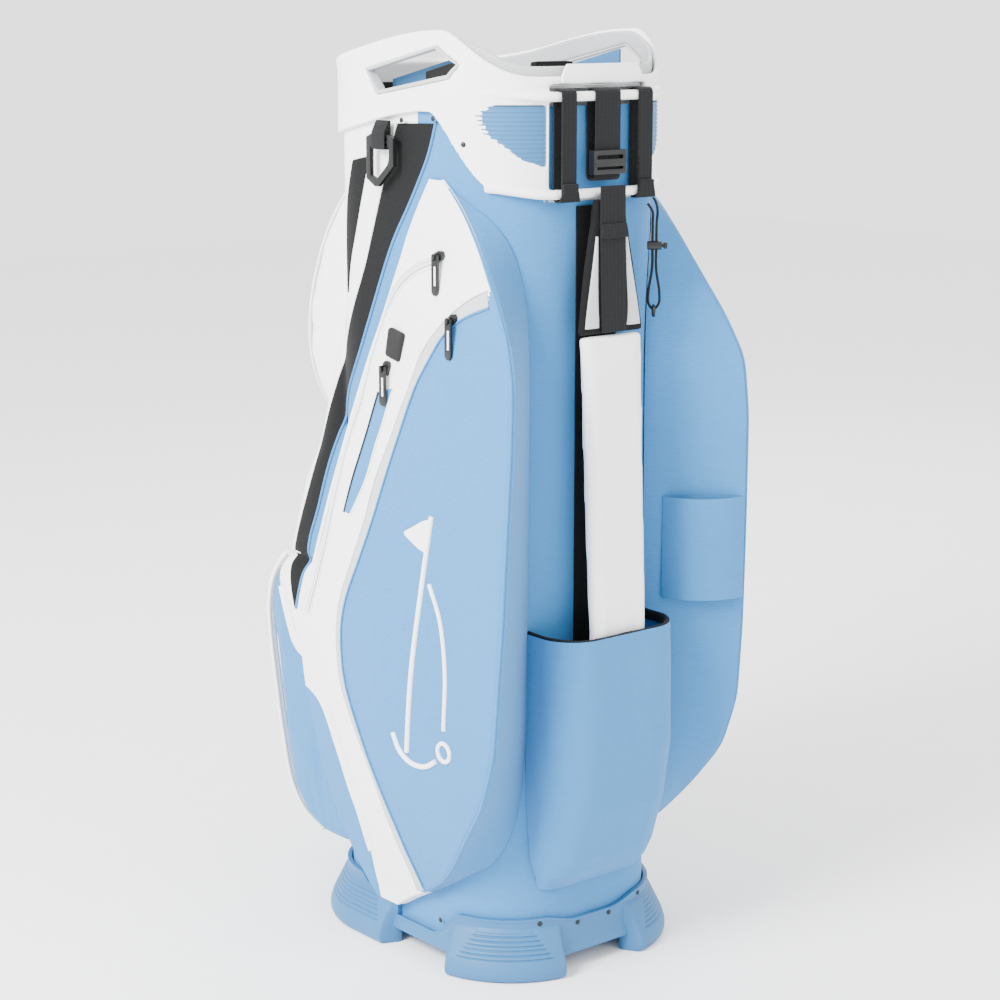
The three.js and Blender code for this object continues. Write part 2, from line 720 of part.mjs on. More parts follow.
// The white front panel flares out from the tube down to the ball pocket.
const FLARE_LEVELS = [
  { z: 364 + GAP, half: 107.5, reach: 231, corner: 33 },
  { z: 380, half: 107, reach: 224, corner: 33 },
  { z: 411, half: 106, reach: 215, corner: 32 },
  { z: 453, half: 105, reach: 198, corner: 30 },
  { z: 490, half: 104, reach: 177, corner: 30 },
  { z: 530, half: 103, reach: 165, corner: 31 },
  { z: 585, half: 102, reach: 149, corner: 36 },
  { z: 630, half: 100, reach: 142, corner: 42 },
];

const POUCH_LEVELS = [
  { z: 88, half: 62, reach: 158, corner: 20 },
  { z: 120, half: 70, reach: 174, corner: 30 },
  { z: 170, half: 73, reach: 190, corner: 36 },
  { z: 225, half: 74, reach: 197, corner: 36 },
  { z: 300, half: 74, reach: 197, corner: 36 },
  { z: POUCH_RIM, half: 74, reach: 196, corner: 36 },
];

function atHeight(levels, z) {
  const upper = levels.findIndex((level) => level.z >= z);
  const [a, b] = [levels[upper - 1], levels[upper]];
  const t = (z - a.z) / (b.z - a.z);
  const mix = (key) => lerp(a[key], b[key], t);
  return { z, half: mix("half"), reach: mix("reach"), corner: mix("corner") };
}

// The ball pocket and the flare are as wide as the tube allows.
function asWide(levels) {
  return levels.map((level) => ({ ...level, half: level.half + WIDER }));
}

function coolerPocket() {
  return cut(bulgePocket(COOLER_LEVELS, 90, -1), ovalCylinder(GAP, -CUT, 3 * CUT));
}

function ballPocket() {
  const neighbour = pocketBody(GAP);
  const body = bulgePocket(asWide(BALL_LEVELS), 60, -1);
  return cut(body, ovalCylinder(GAP, -CUT, 3 * CUT), neighbour, mirrored(neighbour), baseKeepOut());
}

function frontFlare() {
  const neighbour = pocketBody(GAP);
  const above = COOLER_LEVELS.map((level, i) => ({ ...level, z: i === 0 ? level.z - GAP : level.z }));
  return cut(
    bulgePocket(asWide(FLARE_LEVELS), 60, -1),
    ovalCylinder(GAP, -CUT, 3 * CUT),
    neighbour,
    mirrored(neighbour),
    bulgePocket(above, 60, -1, -GAP),
  );
}

// A stretch of the pouch's wall; the lowest stretch has a bottom.
function pouchStretch(low, high, extra) {
  const closed = low === POUCH_LEVELS[0].z;
  const levels = [
    closed ? POUCH_LEVELS[0] : atHeight(POUCH_LEVELS, low),
    ...POUCH_LEVELS.filter((level) => level.z > low && level.z < high),
    atHeight(POUCH_LEVELS, high),
  ];
  const outside = levels.map((level) => ({ ...level, half: level.half + extra, reach: level.reach + extra }));
  const inside = levels.map((level) => ({ ...level }));
  inside[0].z += closed ? POUCH_WALL : -1;
  inside[inside.length - 1].z += 1;
  return cut(
    bulgePocket(outside, 90, 1),
    bulgePocket(inside, 80, 1, POUCH_WALL),
    ovalCylinder(GAP, -CUT, 3 * CUT),
  );
}

function pouchPieces() {
  const rim = POUCH_RIM - BINDING;
  return {
    strap_pouch: pouchStretch(POUCH_LEVELS[0].z, rim, 0),
    pouch_binding: pouchStretch(rim + GAP, POUCH_RIM, 0.6),
  };
}

// A flat elastic band that bows out from the left pocket's rear face.
const BAND_LOW = 356;
const BAND_HIGH = 458;
const BAND_BOW = 15;

function elasticBand() {
  const { rear } = pocketCorners(BAND_HIGH);
  const inner = new THREE.Vector2(-POCKET_ROOT_X, POCKET_ROOT_Y);
  const outer = new THREE.Vector2(-rear[0], rear[1]);
  const run = outer.clone().sub(inner);
  const away = new THREE.Vector2(run.y, -run.x).normalize();
  const steps = 6;
  const line = (offset) => Array.from({ length: steps + 1 }, (_, i) => {
    const t = i / steps;
    const place = inner.clone().addScaledVector(run, lerp(0.3, 0.98, t));
    place.addScaledVector(away, 2 + BAND_BOW * 4 * t * (1 - t) + offset);
    return [place.x, place.y];
  });
  return slabZ(outline([...line(0), ...line(1.8).reverse()]), BAND_LOW, BAND_HIGH);
}

// ---- Strap --------------------------------------------------------------------------------

// A flat strip that follows points in the YZ plane, each with a half width.
function strip(points, thickness) {
  const loops = points.map(({ y, z, half }, i) => {
    const before = points[Math.max(i - 1, 0)];
    const after = points[Math.min(i + 1, points.length - 1)];
    const along = new THREE.Vector2(after.y - before.y, after.z - before.z).normalize();
    const [ny, nz] = [along.y * (thickness / 2), -along.x * (thickness / 2)];
    const soft = Math.min(thickness * 0.35, 3);
    return [
      new THREE.Vector3(half - soft, y + ny, z + nz),
      new THREE.Vector3(half, y + ny * 0.3, z + nz * 0.3),
      new THREE.Vector3(half, y - ny * 0.3, z - nz * 0.3),
      new THREE.Vector3(half - soft, y - ny, z - nz),
      new THREE.Vector3(-half + soft, y - ny, z - nz),
      new THREE.Vector3(-half, y - ny * 0.3, z - nz * 0.3),
      new THREE.Vector3(-half, y + ny * 0.3, z + nz * 0.3),
      new THREE.Vector3(-half + soft, y + ny, z + nz),
    ];
  });
  return loft(loops.reverse());
}

// Webbing that closes round both rails, or round one rail and a tail.
function webbingRing(x, width, lowZ, highZ, frontY, backY) {
  const round = WEB + 0.2;
  const ring = (inset) => {
    const [low, high] = [lowZ + inset, highZ - inset];
    const [front, back] = [frontY + inset, backY - inset];
    const r = round - inset;
    return [
      [front + r, low], [back - r, low], [back, low + r], [back, high - r],
      [back - r, high], [front + r, high], [front, high - r], [front, low + r],
    ];
  };
  return slabX(outline(ring(0), ring(WEB)), x - width / 2, x + width / 2);
}

const STRAP_FRONT_Y = RAIL_FRONT_Y - GAP - WEB;
const STRAP_BACK_Y = RAIL_BACK_Y + GAP + WEB;
const RAIL_ROOM = RAIL_HEIGHT / 2 + GAP + WEB;
const PAD_TOP_Z = 752;
const SLEEVE_TOP_Z = 626;

function strapPieces() {
  const path = (z) => lerp(183, 167, (z - POUCH_RIM) / (SLEEVE_TOP_Z - POUCH_RIM));
  return {
    strap_webbing: webbingRing(0, STRAP_WIDTH, 768, RAIL_UPPER_Z + RAIL_ROOM, STRAP_FRONT_Y, STRAP_BACK_Y),
    strap_pad: strip(
      [
        { y: 163, z: PAD_TOP_Z, half: 19 },
        { y: 163.5, z: 728, half: 22 },
        { y: 164.5, z: 690, half: 30 },
        { y: path(SLEEVE_TOP_Z), z: SLEEVE_TOP_Z + 1.5, half: 40 },
      ],
      8,
    ),
    strap_tail: strip(
      [
        { y: 168.6, z: 764, half: STRAP_WIDTH / 2 },
        { y: 168.6, z: 728, half: STRAP_WIDTH / 2 },
        { y: 169.9, z: 690, half: STRAP_WIDTH / 2 },
        { y: 172.4, z: SLEEVE_TOP_Z + 3, half: STRAP_WIDTH / 2 },
      ],
      2,
    ),
    strap_sleeve: strip(
      [
        { y: path(SLEEVE_TOP_Z), z: SLEEVE_TOP_Z, half: 36 },
        { y: path(520), z: 520, half: 36 },
        { y: path(POUCH_RIM), z: POUCH_RIM, half: 35 },
        { y: 180, z: 290, half: 34 },
        { y: 172, z: 235, half: 33 },
      ],
      14,
    ),
  };
}

function triGlide() {
  const frame = box(-20, 20, STRAP_BACK_Y - WEB - 2.6, STRAP_BACK_Y + 3.4, 774, 796);
  const slot = box(-STRAP_WIDTH / 2 - 0.5, STRAP_WIDTH / 2 + 0.5, STRAP_BACK_Y - WEB - 0.5, STRAP_BACK_Y + 0.5, 0, CUT * 3);
  const window = box(-STRAP_WIDTH / 2 - 0.5, STRAP_WIDTH / 2 + 0.5, STRAP_BACK_Y, CUT, 778.5, 791.5);
  const bar = box(-19, 19, STRAP_BACK_Y + 0.8, STRAP_BACK_Y + 4.2, 781, 788);
  return join(cut(frame, slot, window), bar);
}

function spineStrip() {
  const low = TUBE_HALF_Y + GAP;
  return box(-SPINE_HALF, SPINE_HALF, low, low + 1.5, 150, RAIL_LOWER_Z - RAIL_HEIGHT / 2 - 7);
}

// ---- Towel ring ---------------------------------------------------------------------------

const RING_Y = -17;
const RING_BAR_X = TUBE_HALF_X + COLLAR_OUTER + 4.6;
const RING_BAR_Z = 800;

function towelLoop() {
  const low = TUBE_HALF_X + COLLAR_OUTER + GAP;
  const high = RING_BAR_X * 2 - low;
  const shape = outline(
    [[low, 793], [high, 793], [high, 809], [low + 2.6, 820], [low, 820]],
    [[RING_BAR_X - 2.9, 796], [RING_BAR_X - 2.9, 804], [RING_BAR_X + 2.9, 804], [RING_BAR_X + 2.9, 796]],
  );
  return slabY(shape, RING_Y - 10, RING_Y + 10);
}

// The ring hangs from its round bar; its own origin is the bar's centre.
function towelRing() {
  const shape = outline(
    [[-21, 4], [-14, 7], [14, 7], [21, 4], [21, -22], [-3, -42], [-8, -42], [-21, -35]],
    [[-14.5, -5], [-14.5, -32], [-5, -35.5], [14.5, -19], [14.5, -5]],
  );
  const plate = slabX(shape, -2.2, 2.2);
  const room = box(-20, 20, -11.5, 11.5, -11, 20);
  const bar = new THREE.CylinderGeometry(2, 2, 30, 12);
  return join(cut(plate, room), bar);
}

// ---- Zips ---------------------------------------------------------------------------------

// A slider: its body is turned to lie along the zip, its bridge stays upright for the tab's pin.
// In its own frame x points away from the cloth.
function zipSlider(way) {
  const { length, width, height } = SLIDER;
  const plan = outline([
    [-width / 2, -length / 2],
    [width / 2, -length / 2],
    [width / 2, length / 4],
    [width / 4, length / 2],
    [-width / 4, length / 2],
    [-width / 2, length / 4],
  ]);
  const body = slabX(plan, 0, height - 1);
  body.rotateX(Math.atan2(way[0], -way[1]));
  const { pinX, pinHole, bridge } = TAB;
  const arch = slabY(
    outline(
      [[height - 2, -bridge], [pinX + bridge, -bridge], [pinX + bridge, bridge], [height - 2, bridge]],
      [[pinX - pinHole, -2.5], [pinX + pinHole, -2.5], [pinX + pinHole, 2.5], [pinX - pinHole, 2.5]],
    ),
    -1.5,
    1.5,
  );
  return join(body, arch);
}

// A pull tab that hangs from its pin. Its own origin is the pin's middle; it hangs along -z.
function pullTab() {
  const { length, width, thick, pin, bridge } = TAB;
  const half = width / 2;
  const body = slabX(
    outline(
      [
        [-half, 1.4], [-half, -length + 3], [-half + 2.5, -length],
        [half - 2.5, -length], [half, -length + 3], [half, 1.4],
      ],
      [[-1.9, -9], [-1.9, -length + 9], [1.9, -length + 9], [1.9, -9]],
    ),
    -thick / 2,
    thick / 2,
  );
  const room = box(-5, 5, -1.9, 1.9, -bridge - 1.2, 9);
  const bar = new THREE.CylinderGeometry(pin, pin, width - 1, 10);
  return join(cut(body, room), bar);
}

// The zips on the right side: where the slider rests and the way it travels, in y and z.
const ZIPS = [
  { name: "yoke_zip", y: 76, z: 700, way: [-0.91, -0.41] },
  { name: "main_zip", y: 108, z: 645, way: [-0.76, -0.65] },
  { name: "quick_zip", y: 10, z: 590, way: [-0.34, -0.94] },
];

// ---- Cord ---------------------------------------------------------------------------------

const CORD_X = -57;
const CORD_Y = 165;
const LOCK_Z = 705;
const CORD_LOW_Z = 645; // the cord's lowest point, where the ring hangs
const STRAND = 1.9; // half the distance between the two strands
const LOCK_TURN = THREE.MathUtils.degToRad(-35);

// The cord leaves the left webbing loop, runs down through the lock and the ring, and comes
// back up through the lock to the collar's edge.
const CORD_POINTS = [
  [-49, 163.9, 744.5],
  [-53, 166, 737],
  [CORD_X + STRAND * 0.82, CORD_Y - STRAND * 0.57, 726],
  [CORD_X + STRAND * 0.82, CORD_Y - STRAND * 0.57, 705],
  [CORD_X + STRAND * 0.82, CORD_Y - STRAND * 0.57, 684],
  [CORD_X + 4.4, CORD_Y - 3, 660],
  [CORD_X + 4, CORD_Y - 2.7, 650],
  [CORD_X, CORD_Y, CORD_LOW_Z],
  [CORD_X - 4, CORD_Y + 2.7, 650],
  [CORD_X - 4.4, CORD_Y + 3, 660],
  [CORD_X - STRAND * 0.82, CORD_Y + STRAND * 0.57, 684],
  [CORD_X - STRAND * 0.82, CORD_Y + STRAND * 0.57, 705],
  [CORD_X - STRAND * 0.82, CORD_Y + STRAND * 0.57, 726],
  [-63, 162.5, 736],
  [-76, 146, 744],
  [-83, 135.5, 746],
];

function looseCord() {
  const route = new THREE.CatmullRomCurve3(CORD_POINTS.map((point) => new THREE.Vector3(...point)), false, "centripetal");
  const section = new THREE.Shape();
  section.absarc(0, 0, CORD_RADIUS, 0, Math.PI * 2, false);
  return new THREE.ExtrudeGeometry(section, { extrudePath: route, steps: 48, curveSegments: 4, bevelEnabled: false });
}

// The lock's barrel lies across the cord, with room for both strands; its button is at one end.
function cordLock() {
  const barrel = new THREE.CylinderGeometry(4.2, 4.2, 13, 14);
  barrel.rotateZ(Math.PI / 2);
  const slot = box(-STRAND - 1.9, STRAND + 1.9, -1.8, 1.8, -9, 9);
  const bore = box(-7, -3, -2.2, 2.2, -2.2, 2.2);
  return cut(barrel, slot, bore);
}

function lockButton() {
  return join(box(-12, -9, -3, 3, -3, 3), box(-9.5, -5.6, -1.8, 1.8, -1.8, 1.8));
}

function cordRing() {
  const ring = new THREE.TorusGeometry(4.9, 1.3, 8, 20);
  ring.rotateY(Math.PI / 2);
  return ring;
}

// ---- Assembly -----------------------------------------------------------------------------

const bag = new THREE.Group();

function add(name, geometry, finish, group = bag) {
  const mesh = new THREE.Mesh(geometry, finish);
  mesh.name = name;
  group.add(mesh);
  return mesh;
}

add("base_shell", baseShell(), BLUE_PLASTIC);
for (const [name, geometry] of Object.entries(tubePanels())) {
  add(name, geometry, name === "tube_panel_front" ? WHITE_CLOTH : BLUE_CLOTH);
}
add("spine_strip", spineStrip(), BLACK_CLOTH);
add("spine_stay", spineStay(), STEEL);

add("collar_shell", collarShell(), WHITE_PLASTIC);
add("collar_liner", collarLiner(), GREY_PLASTIC);
add("handle_recess", handleRecess(), GREY_PLASTIC);
add("rear_cover", rearCover(), WHITE_PLASTIC);
for (const [end, side] of [["right", 1], ["left", -1]]) {
  add(`ribbed_inlay_${end}`, ribbedInlay(side), BLUE_PLASTIC);
  add(`grip_bezel_${end}`, gripBezel(side), GREY_PLASTIC);
  add(`grip_recess_${end}`, gripRecess(side), BLUE_PLASTIC);
  add(`recess_pad_${end}`, recessPad(side), BLACK_PLASTIC);
}

const rows = [-1.5, -0.5, 0.5, 1.5].map((step) => step * ROW_PITCH);
rows.forEach((y, i) => add(`well_cross_${i + 1}`, crossWall(y, i === 3), BLACK_CLOTH));
add("well_long_right", longWall(LONG_WALL_X, rows), BLACK_CLOTH);
add("well_long_left", longWall(-LONG_WALL_X, rows), BLACK_CLOTH);
add("well_front", frontWall(rows[0]), BLACK_CLOTH);

const sidePocket = sidePocketPieces();
add("side_pocket_right", sidePocket.pocket, BLUE_CLOTH);
add("side_pocket_left", mirrored(sidePocket.pocket), BLUE_CLOTH);
add("yoke_right", sidePocket.yoke, WHITE_CLOTH);
add("yoke_left", mirrored(sidePocket.yoke), WHITE_CLOTH);
add("cooler_pocket", coolerPocket(), WHITE_CLOTH);
add("ball_pocket", ballPocket(), BLUE_CLOTH);
add("front_flare", frontFlare(), WHITE_CLOTH);
const pouch = pouchPieces();
add("strap_pouch", pouch.strap_pouch, BLUE_CLOTH);
add("pouch_binding", pouch.pouch_binding, BLACK_WEBBING);
add("elastic_band", elasticBand(), BLUE_CLOTH);

const strap = strapPieces();
add("strap_webbing", strap.strap_webbing, BLACK_WEBBING);
add("strap_pad", strap.strap_pad, BLACK_CLOTH);
add("strap_tail", strap.strap_tail, BLACK_WEBBING);
add("strap_sleeve", strap.strap_sleeve, WHITE_CLOTH);
add("tri_glide", triGlide(), BLACK_PLASTIC);
for (const [end, side] of [["right", 1], ["left", -1]]) {
  const ring = webbingRing(
    side * LOOP_X,
    LOOP_WIDTH,
    RAIL_LOWER_Z - RAIL_ROOM,
    RAIL_UPPER_Z + RAIL_ROOM,
    STRAP_FRONT_Y,
    STRAP_BACK_Y,
  );
  add(`webbing_loop_${end}`, ring, BLACK_WEBBING);
}

add("towel_loop", towelLoop(), BLACK_WEBBING);
add("towel_ring", towelRing(), BLACK_PLASTIC).position.set(RING_BAR_X, RING_Y, RING_BAR_Z);

for (const zip of ZIPS) {
  const x = faceX(zip.y, zip.z) + ZIP_STAND;
  const unit = new THREE.Group();
  unit.position.set(x, zip.y, zip.z);
  bag.add(unit);
  add(`${zip.name}_slider`, zipSlider(zip.way), BLACK_PLASTIC, unit);
  add(`${zip.name}_tab`, pullTab(), BLACK_PLASTIC, unit).position.x = TAB.pinX;
}

add("loose_cord", looseCord(), BLACK_WEBBING);
const lock = new THREE.Group();
lock.position.set(CORD_X, CORD_Y, LOCK_Z);
lock.rotation.z = LOCK_TURN;
bag.add(lock);
add("cord_lock", cordLock(), BLACK_PLASTIC, lock);
add("cord_lock_button", lockButton(), BLACK_PLASTIC, lock);
const ring = add("cord_ring", cordRing(), BLACK_PLASTIC);
ring.position.set(CORD_X, CORD_Y, CORD_LOW_Z - 1.6);
ring.rotation.z = LOCK_TURN;

// The origin is under the middle of the bag, on the ground.
const extent = new THREE.Box3().setFromObject(bag);
bag.position.set(-(extent.min.x + extent.max.x) / 2, -(extent.min.y + extent.max.y) / 2, -extent.min.z);

export default bag;
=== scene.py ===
# %% [markdown]
# A cart-style golf bag that stands on its own moulded base. The hard parts (collar, base,
# buckles) are moulded plastic, and everything between them is cloth sewn round a stiff tube.
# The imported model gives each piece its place, so every piece below is laid on that frame.

# %% Load the frame
import math

import bmesh
import bpy
from mathutils import Matrix, Vector, noise
from mathutils.bvhtree import BVHTree


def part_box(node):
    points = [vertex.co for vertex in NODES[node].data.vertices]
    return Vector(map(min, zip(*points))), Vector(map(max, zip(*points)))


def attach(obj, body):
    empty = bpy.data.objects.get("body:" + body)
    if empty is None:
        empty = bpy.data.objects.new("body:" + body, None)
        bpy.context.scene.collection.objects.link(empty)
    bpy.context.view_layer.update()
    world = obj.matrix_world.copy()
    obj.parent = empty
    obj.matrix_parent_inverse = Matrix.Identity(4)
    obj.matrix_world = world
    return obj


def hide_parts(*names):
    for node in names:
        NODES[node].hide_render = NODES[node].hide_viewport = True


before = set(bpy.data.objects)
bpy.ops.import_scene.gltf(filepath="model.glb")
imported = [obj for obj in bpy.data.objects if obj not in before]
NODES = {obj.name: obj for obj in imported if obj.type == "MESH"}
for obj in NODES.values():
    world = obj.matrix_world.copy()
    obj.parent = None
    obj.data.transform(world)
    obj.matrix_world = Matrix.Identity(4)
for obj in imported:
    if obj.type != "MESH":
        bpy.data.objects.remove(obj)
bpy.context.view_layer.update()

# %% [markdown]
# The tube is an oval in plan: a rectangle with large round corners. Lengths are easiest to
# think about in millimetres from the tube's own middle, so one function turns such a place
# into the frame's metres.

# %% Places in millimetres from the middle of the tube
MM = 0.001
tube_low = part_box("tube_panel_front")[0]
tube_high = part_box("tube_panel_rear")[1]
MIDDLE_Y = (tube_low[1] + tube_high[1]) / 2
HALF_X = -tube_low[0] / MM
HALF_Y = (tube_high[1] - tube_low[1]) / 2 / MM
CORNER = 82.0
TUBE_TOP = tube_high[2] / MM


def at(x, y, z):
    return Vector((x * MM, MIDDLE_Y + y * MM, z * MM))


print("oval", round(HALF_X * 2), "by", round(HALF_Y * 2), "mm, middle at Y", round(MIDDLE_Y, 4))

# %% [markdown]
# The camera comes first. It stands to the right of the strap side at about the height of the
# collar's top, and looks down a little, so both the side pocket and the strap are seen.

# %% Camera
camera_data = bpy.data.cameras.new("camera")
camera_data.lens = 84.6
camera_data.sensor_width = 36
camera_data.shift_x = 0.004
camera = bpy.data.objects.new("camera", camera_data)
bpy.context.scene.collection.objects.link(camera)
camera.location = (1.463, 1.804, 0.930)
TURN, PITCH = math.radians(39.5), math.radians(12.0)
toward = Vector((-math.sin(TURN) * math.cos(PITCH), -math.cos(TURN) * math.cos(PITCH), -math.sin(PITCH)))
camera.rotation_euler = toward.to_track_quat("-Z", "Y").to_euler()
bpy.context.scene.camera = camera
print("camera looks along", [round(v, 3) for v in toward])

# %% [markdown]
# A few helpers do the handwork. `only` selects one object, because an operator acts on all
# that is selected. `modify` adds a modifier and applies it. `sheet_of` adds a plain grid and
# lays its points where a function says: u runs across the grid and v along it, both from 0
# to 1. Most pieces here are such a grid, wrapped, folded or closed. `face_out` turns an open
# sheet's faces over where they look into the bag.

# %% Helpers for meshes
def only(piece):
    bpy.ops.object.select_all(action="DESELECT")
    piece.select_set(True)
    bpy.context.view_layer.objects.active = piece


def modify(piece, kind, **settings):
    only(piece)
    modifier = piece.modifiers.new(kind.lower(), kind)
    for key, value in settings.items():
        setattr(modifier, key, value)
    bpy.ops.object.modifier_apply(modifier=modifier.name)
    return piece


def tidy(piece, outward=True, merge=0.00002):
    shape = bmesh.new()
    shape.from_mesh(piece.data)
    bmesh.ops.remove_doubles(shape, verts=shape.verts, dist=merge)
    bmesh.ops.dissolve_degenerate(shape, edges=shape.edges, dist=merge)
    if outward:
        bmesh.ops.recalc_face_normals(shape, faces=shape.faces)
    shape.to_mesh(piece.data)
    shape.free()
    return piece


def sheet_of(name, across, along, place, outward=True):
    bpy.ops.object.select_all(action="DESELECT")
    bpy.ops.mesh.primitive_grid_add(x_subdivisions=across, y_subdivisions=along, size=2)
    piece = bpy.context.object
    piece.name = piece.data.name = name
    for vertex in piece.data.vertices:
        vertex.co = place((vertex.co.x + 1) / 2, (vertex.co.y + 1) / 2)
    return tidy(piece, outward)


def smooth(piece, angle=35):
    only(piece)
    bpy.ops.object.shade_smooth_by_angle(angle=math.radians(angle))
    return piece


def shade_soft(piece):
    only(piece)
    bpy.ops.object.shade_smooth()
    return piece


def face_out(piece, axis="y", middle=True):
    faces = piece.data.polygons
    if getattr(faces[len(faces) // 2 if middle else 0].normal, axis) < 0:
        piece.data.flip_normals()


def dress(piece, body, material):
    piece.data.materials.clear()
    piece.data.materials.append(material)
    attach(piece, body)
    return piece


def mirrored(piece, name):
    copy = piece.copy()
    copy.data = piece.data.copy()
    copy.name = copy.data.name = name
    bpy.context.scene.collection.objects.link(copy)
    copy.data.transform(Matrix.Scale(-1, 4, (1, 0, 0)))
    copy.data.flip_normals()
    return copy


# %% [markdown]
# Lines are drawn through a few chosen points and made smooth. The centripetal kind of curve
# passes through every point and makes no loops where two points are close.

# %% Smooth lines through points
def curve_through(points, count):
    knots = [Vector(p) for p in points]
    knots = [knots[0] * 2 - knots[1], *knots, knots[-1] * 2 - knots[-2]]
    line = []
    spans = len(knots) - 3
    for i in range(count):
        place = i / (count - 1) * spans
        span = min(int(place), spans - 1)
        a, b, c, d = knots[span:span + 4]
        t0, t1 = 0.0, max((b - a).length, 1e-9) ** 0.5
        t2 = t1 + max((c - b).length, 1e-9) ** 0.5
        t3 = t2 + max((d - c).length, 1e-9) ** 0.5
        t = t1 + (place - span) * (t2 - t1)
        ab = a * ((t1 - t) / (t1 - t0)) + b * ((t - t0) / (t1 - t0))
        bc = b * ((t2 - t) / (t2 - t1)) + c * ((t - t1) / (t2 - t1))
        cd = c * ((t3 - t) / (t3 - t2)) + d * ((t - t2) / (t3 - t2))
        abc = ab * ((t2 - t) / (t2 - t0)) + bc * ((t - t0) / (t2 - t0))
        bcd = bc * ((t3 - t) / (t3 - t1)) + cd * ((t - t1) / (t3 - t1))
        line.append(abc * ((t2 - t) / (t2 - t1)) + bcd * ((t - t1) / (t2 - t1)))
    return line


def along(line, share):
    place = share * (len(line) - 1)
    low = min(int(place), len(line) - 2)
    return line[low].lerp(line[low + 1], place - low)


def tube_through(name, line, radius, sides=3):
    data = bpy.data.curves.new(name, "CURVE")
    data.dimensions = "3D"
    data.bevel_depth = radius
    data.bevel_resolution = sides
    data.use_fill_caps = True
    spline = data.splines.new("POLY")
    spline.points.add(len(line) - 1)
    for point, place in zip(spline.points, line):
        point.co = (*place, 1)
    piece = bpy.data.objects.new(name, data)
    bpy.context.scene.collection.objects.link(piece)
    only(piece)
    bpy.ops.object.convert(target="MESH")
    piece = bpy.context.object
    piece.data.name = name
    return smooth(piece, 60)


# %% [markdown]
# One function adds a node to a material, with its settings and what feeds it. Colours are
# written as they look on a screen and turned into the linear values that light works in.

# %% Helpers for materials
def colour(code):
    parts = [int(code[i:i + 2], 16) / 255 for i in (1, 3, 5)]
    return (*[c / 12.92 if c <= 0.04045 else ((c + 0.055) / 1.055) ** 2.4 for c in parts], 1)


def node(tree, kind, feeds=None, **settings):
    made = tree.nodes.new(kind)
    for key, value in settings.items():
        setattr(made, key, value)
    for socket, value in (feeds or {}).items():
        if isinstance(value, bpy.types.NodeSocket):
            tree.links.new(value, made.inputs[socket])
        else:
            made.inputs[socket].default_value = value
    return made


def blank(name):
    material = bpy.data.materials.new(name)
    material.use_nodes = True
    tree = material.node_tree
    tree.nodes.clear()
    place = node(tree, "ShaderNodeTexCoord").outputs["Object"]
    return material, tree, place


def end(tree, **feeds):
    named = {key.replace("_", " "): value for key, value in feeds.items()}
    shader = node(tree, "ShaderNodeBsdfPrincipled", named)
    node(tree, "ShaderNodeOutputMaterial", {"Surface": shader.outputs[0]})


# %% [markdown]
# Two short helpers for every material: one goes between its two colours, and one turns a
# value from 0 to 1 into a roughness.

# %% Colour and roughness
def shade(tree, factor, dark, light):
    settings = {"Factor": factor, 6: colour(dark), 7: colour(light)}
    return node(tree, "ShaderNodeMix", settings, data_type="RGBA")


CLOTH_GLOSS = 0.14  # cloth scatters light among its threads, so it hardly mirrors any


def dullness(tree, value, low, high):
    return node(tree, "ShaderNodeMapRange", {"Value": value, "To Min": low, "To Max": high})


# %% [markdown]
# Woven polyester: a coated cloth with fine ribs across it and flecks where the thread's dye
# is lighter or darker. Real ribs are about 0.8 mm apart, too fine to show from two metres,
# so they are drawn 1.9 mm apart. The flecks are noise stretched along the ribs.

# %% Cloth
def cloth(name, light, dark, rib=1.9, rough=0.78, ribs=0.45, sheen=0.25, fleck=0.5):
    material, tree, place = blank(name)
    flat = node(tree, "ShaderNodeMapping", {"Vector": place, "Scale": (120, 120, 900)})
    flecks = node(tree, "ShaderNodeTexNoise", {"Vector": flat.outputs[0], "Scale": 1.0, "Detail": 3.0})
    broad = node(tree, "ShaderNodeTexNoise", {"Vector": place, "Scale": 9.0, "Detail": 2.0})
    turns = 2 * math.pi / (rib * MM) / 20
    rib_wave = node(tree, "ShaderNodeTexWave", {"Vector": place, "Scale": turns}, bands_direction="Z")
    along = {"Vector": place, "Scale": turns * 0.8}
    warp = node(tree, "ShaderNodeTexWave", along, bands_direction="DIAGONAL")
    middling = {"Value": flecks.outputs["Fac"], "From Min": 0.3, "From Max": 0.7}
    spread = node(tree, "ShaderNodeMapRange", middling)
    mixed = node(tree, "ShaderNodeMix", {"Factor": fleck, 2: broad.outputs["Fac"], 3: spread.outputs[0]})
    tint = shade(tree, mixed.outputs[0], dark, light)
    weave = node(tree, "ShaderNodeMix", {"Factor": 0.35, 2: rib_wave.outputs["Fac"], 3: warp.outputs["Fac"]})
    height = node(tree, "ShaderNodeMix", {"Factor": 0.25, 2: weave.outputs[0], 3: flecks.outputs["Fac"]})
    bump = node(tree, "ShaderNodeBump", {"Height": height.outputs[0], "Strength": ribs, "Distance": 0.0004})
    dull = dullness(tree, flecks.outputs["Fac"], rough - 0.06, rough + 0.08)
    end(
        tree,
        Base_Color=tint.outputs[2],
        Roughness=dull.outputs[0],
        Normal=bump.outputs[0],
        Specular_IOR_Level=CLOTH_GLOSS,
        Sheen_Weight=sheen,
        Sheen_Roughness=0.5,
    )
    return material


BLUE_CLOTH = cloth("woven_polyester_blue", "#3b7bb1", "#3271a6", sheen=0.1)
WHITE_CLOTH = cloth("coated_polyester_white", "#f6f6f6", "#ececec", rough=0.62, ribs=0.2, sheen=0.1)
BLACK_CLOTH = cloth("woven_polyester_black", "#101112", "#0a0b0b", rough=0.82, fleck=0.7, sheen=0.03)
GREY_CLOTH = cloth("coated_polyester_grey", "#bcbec0", "#adafb2", rough=0.6, ribs=0.2)
CHARCOAL_CLOTH = cloth("woven_polyester_charcoal", "#2c2e30", "#232527", rough=0.8, sheen=0.05)
print("cloth ribs drawn 1.9 mm apart")

